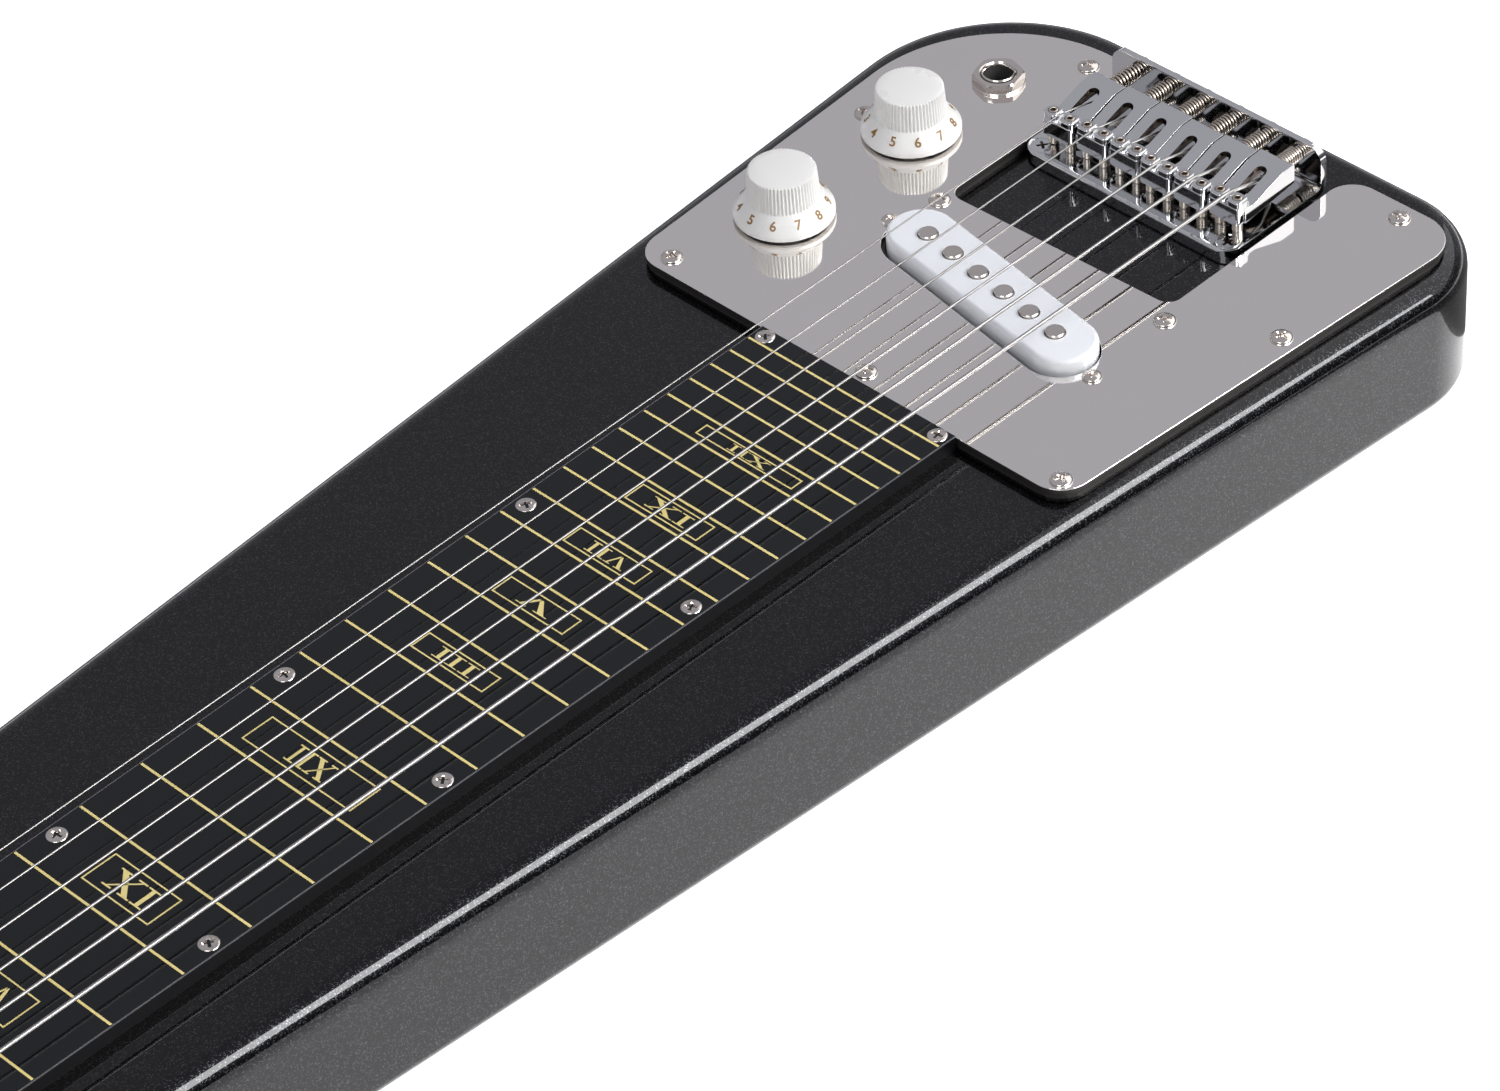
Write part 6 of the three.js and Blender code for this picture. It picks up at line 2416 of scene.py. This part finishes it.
@dataclass(frozen=True)
class Softbox:
    """A rectangular light hung round the instrument and pointed at its middle."""

    name: str
    azimuth: float
    elevation: float
    distance: float
    size: Point2
    radiance: float
    on_matt: bool = True
    in_gloss: bool = True

    def hang(self) -> None:
        """Hangs the light."""
        data = bpy.data.lights.new(self.name, "AREA")
        data.shape = "RECTANGLE"
        data.size, data.size_y = self.size
        data.energy = self.radiance * math.pi * data.size * data.size_y
        lamp = linked(self.name, data)
        turn, rise = math.radians(self.azimuth), math.radians(self.elevation)
        away = Vector((math.cos(turn) * math.cos(rise), math.sin(turn) * math.cos(rise), math.sin(rise)))
        facing = (-away).to_track_quat("-Z", "Y").to_matrix().to_4x4()
        lamp.matrix_world = Matrix.Translation(away * self.distance) @ facing
        lamp.visible_diffuse = self.on_matt
        lamp.visible_glossy = self.in_gloss


@dataclass
class Studio:
    """The camera, the pale floor and the soft lights."""

    camera_mm: tuple[float, float, float] = (-293.165, -773.273, 932.012)
    right: tuple[float, float, float] = (0.699298, -0.712671, -0.055519)
    forward: tuple[float, float, float] = (0.512763, 0.554221, -0.655678)
    lens: float = 133.017
    floor_half: float = 6.0
    floor_gap: float = 0.0003
    tail: float = 0.388
    far_side: float = 0.070
    far_slope: float = 0.0751
    dark_band: float = 0.2
    floor_lift: float = 0.7
    overhead: float = 0.43
    low_front: float = 0.09
    low_back: float = 0.34

    def camera(self) -> None:
        """Sets the camera at the photograph's angle."""
        data = bpy.data.cameras.new("camera")
        data.sensor_width = 36.0
        data.sensor_fit = "HORIZONTAL"
        data.lens = self.lens
        data.clip_end = 50.0
        holder = linked("camera", data)
        back = -Vector(self.forward).normalized()
        right = Vector(self.right)
        right = (right - back * right.dot(back)).normalized()
        up = back.cross(right)
        turn = Matrix((right, up, back)).transposed().to_4x4()
        holder.matrix_world = Matrix.Translation(TO_FRAME @ Vector(self.camera_mm)) @ turn
        bpy.context.scene.camera = holder

    def floor(self) -> None:
        """Lays the floor, which shows white but stays dark in gloss close behind the instrument."""
        mesh = bpy.data.meshes.new("floor")
        h, z = self.floor_half, -self.floor_gap
        mesh.from_pydata([(-h, -h, z), (h, -h, z), (h, h, z), (-h, h, z)], [], [(0, 1, 2, 3)])
        ground = linked("floor", mesh)
        material = bpy.data.materials.new("pale_floor")
        nodes = emptied(material)
        rays = nodes.add("ShaderNodeLightPath")
        place = nodes.add("ShaderNodeTexCoord").outputs["Object"]
        spots = nodes.add("ShaderNodeSeparateXYZ", {"Vector": place})
        along, across = spots.outputs[:2]
        across = nodes.math("SUBTRACT", across, nodes.math("MULTIPLY", along, self.far_slope))
        bands = []
        for spot, start in ((along, self.tail), (across, self.far_side)):
            past = nodes.math("GREATER_THAN", spot, start)
            bands.append(nodes.math("MULTIPLY", past, nodes.math("LESS_THAN", spot, start + self.dark_band)))
        behind = nodes.math("MULTIPLY", nodes.math("MAXIMUM", *bands), rays.outputs["Is Glossy Ray"])
        pale, dark = ((level, level, level, 1.0) for level in (0.82, 0.15))
        paper = nodes.add("ShaderNodeBsdfDiffuse", {"Color": nodes.mix(behind, pale, dark)})
        gloss = nodes.math("SUBTRACT", rays.outputs["Is Glossy Ray"], behind)
        seen = nodes.math("MAXIMUM", rays.outputs["Is Camera Ray"], gloss)
        seen = nodes.math("MAXIMUM", seen, rays.outputs["Is Transmission Ray"])
        strength = nodes.math("MULTIPLY", seen, self.floor_lift)
        lift = nodes.add("ShaderNodeEmission", {"Color": (1, 1, 1, 1), "Strength": strength})
        both = nodes.add("ShaderNodeAddShader", {0: paper.outputs[0], 1: lift.outputs[0]})
        under = nodes.add("ShaderNodeNewGeometry").outputs["Backfacing"]
        clear = nodes.add("ShaderNodeBsdfTransparent")
        shown = nodes.add("ShaderNodeMixShader", {0: under, 1: both.outputs[0], 2: clear.outputs[0]})
        nodes.add("ShaderNodeOutputMaterial", {"Surface": shown.outputs[0]})
        mesh.materials.append(material)

    def world(self) -> None:
        """Lights the room evenly overhead, with a dim horizon in front and a paler one behind."""
        world = bpy.data.worlds.new("room")
        bpy.context.scene.world = world
        nodes = emptied(world)
        where = nodes.add("ShaderNodeTexCoord").outputs["Generated"]
        split = nodes.add("ShaderNodeSeparateXYZ", {"Vector": where})
        horizon = nodes.ramp(split.outputs[1], -0.2, 0.3, self.low_front, self.low_back)
        strength = nodes.ramp(split.outputs[2], 0.2, 0.6, horizon, self.overhead)
        rays = nodes.add("ShaderNodeLightPath")
        values = {0: rays.outputs["Is Camera Ray"], 2: strength, 3: 1.0}
        shown = nodes.add("ShaderNodeMix", values, data_type="FLOAT").outputs[0]
        sky = nodes.add("ShaderNodeBackground", {"Color": (0.99, 0.985, 1.07, 1.0), "Strength": shown})
        nodes.add("ShaderNodeOutputWorld", {"Surface": sky.outputs[0]})

    def build(self) -> None:
        """Builds the studio."""
        self.camera()
        self.floor()
        self.world()
        Softbox("front_panel", -66.0, 40.0, 2.5, (1.75, 0.95), 14.0, on_matt=False).hang()
        Softbox("side_panel", -13.0, 38.0, 2.5, (2.8, 1.5), 1.1, on_matt=False).hang()
        Softbox("key", -48.0, 34.0, 1.7, (1.5, 0.7), 7.9, in_gloss=False).hang()
        Softbox("fill", -155.0, 48.0, 1.8, (0.9, 0.9), 3.1).hang()


def main() -> None:
    """Builds every sub-assembly in order."""
    logging.basicConfig(level=logging.INFO, format="%(name)s %(message)s")
    bpy.context.scene.view_settings.view_transform = "Standard"
    Studio().build()
    pickup = Pickup()
    tuners = Tuners()
    knobs = [
        Knob("volume", Carrier.VOLUME, 502.3, 63.8, -347.5),
        Knob("tone", Carrier.TONE, 550.2, 63.1, -325.5),
    ]
    jack = Jack()
    BodySlab().build(pickup, tuners)
    Fretboard().build()
    ControlPlate().build(pickup, knobs, jack)
    pickup.build()
    for knob in knobs:
        knob.build()
    jack.build()
    Bridge().build()
    Strings().build(tuners)
    Nut().build()
    tuners.build()
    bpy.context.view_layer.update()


if __name__ == "__main__":
    main()
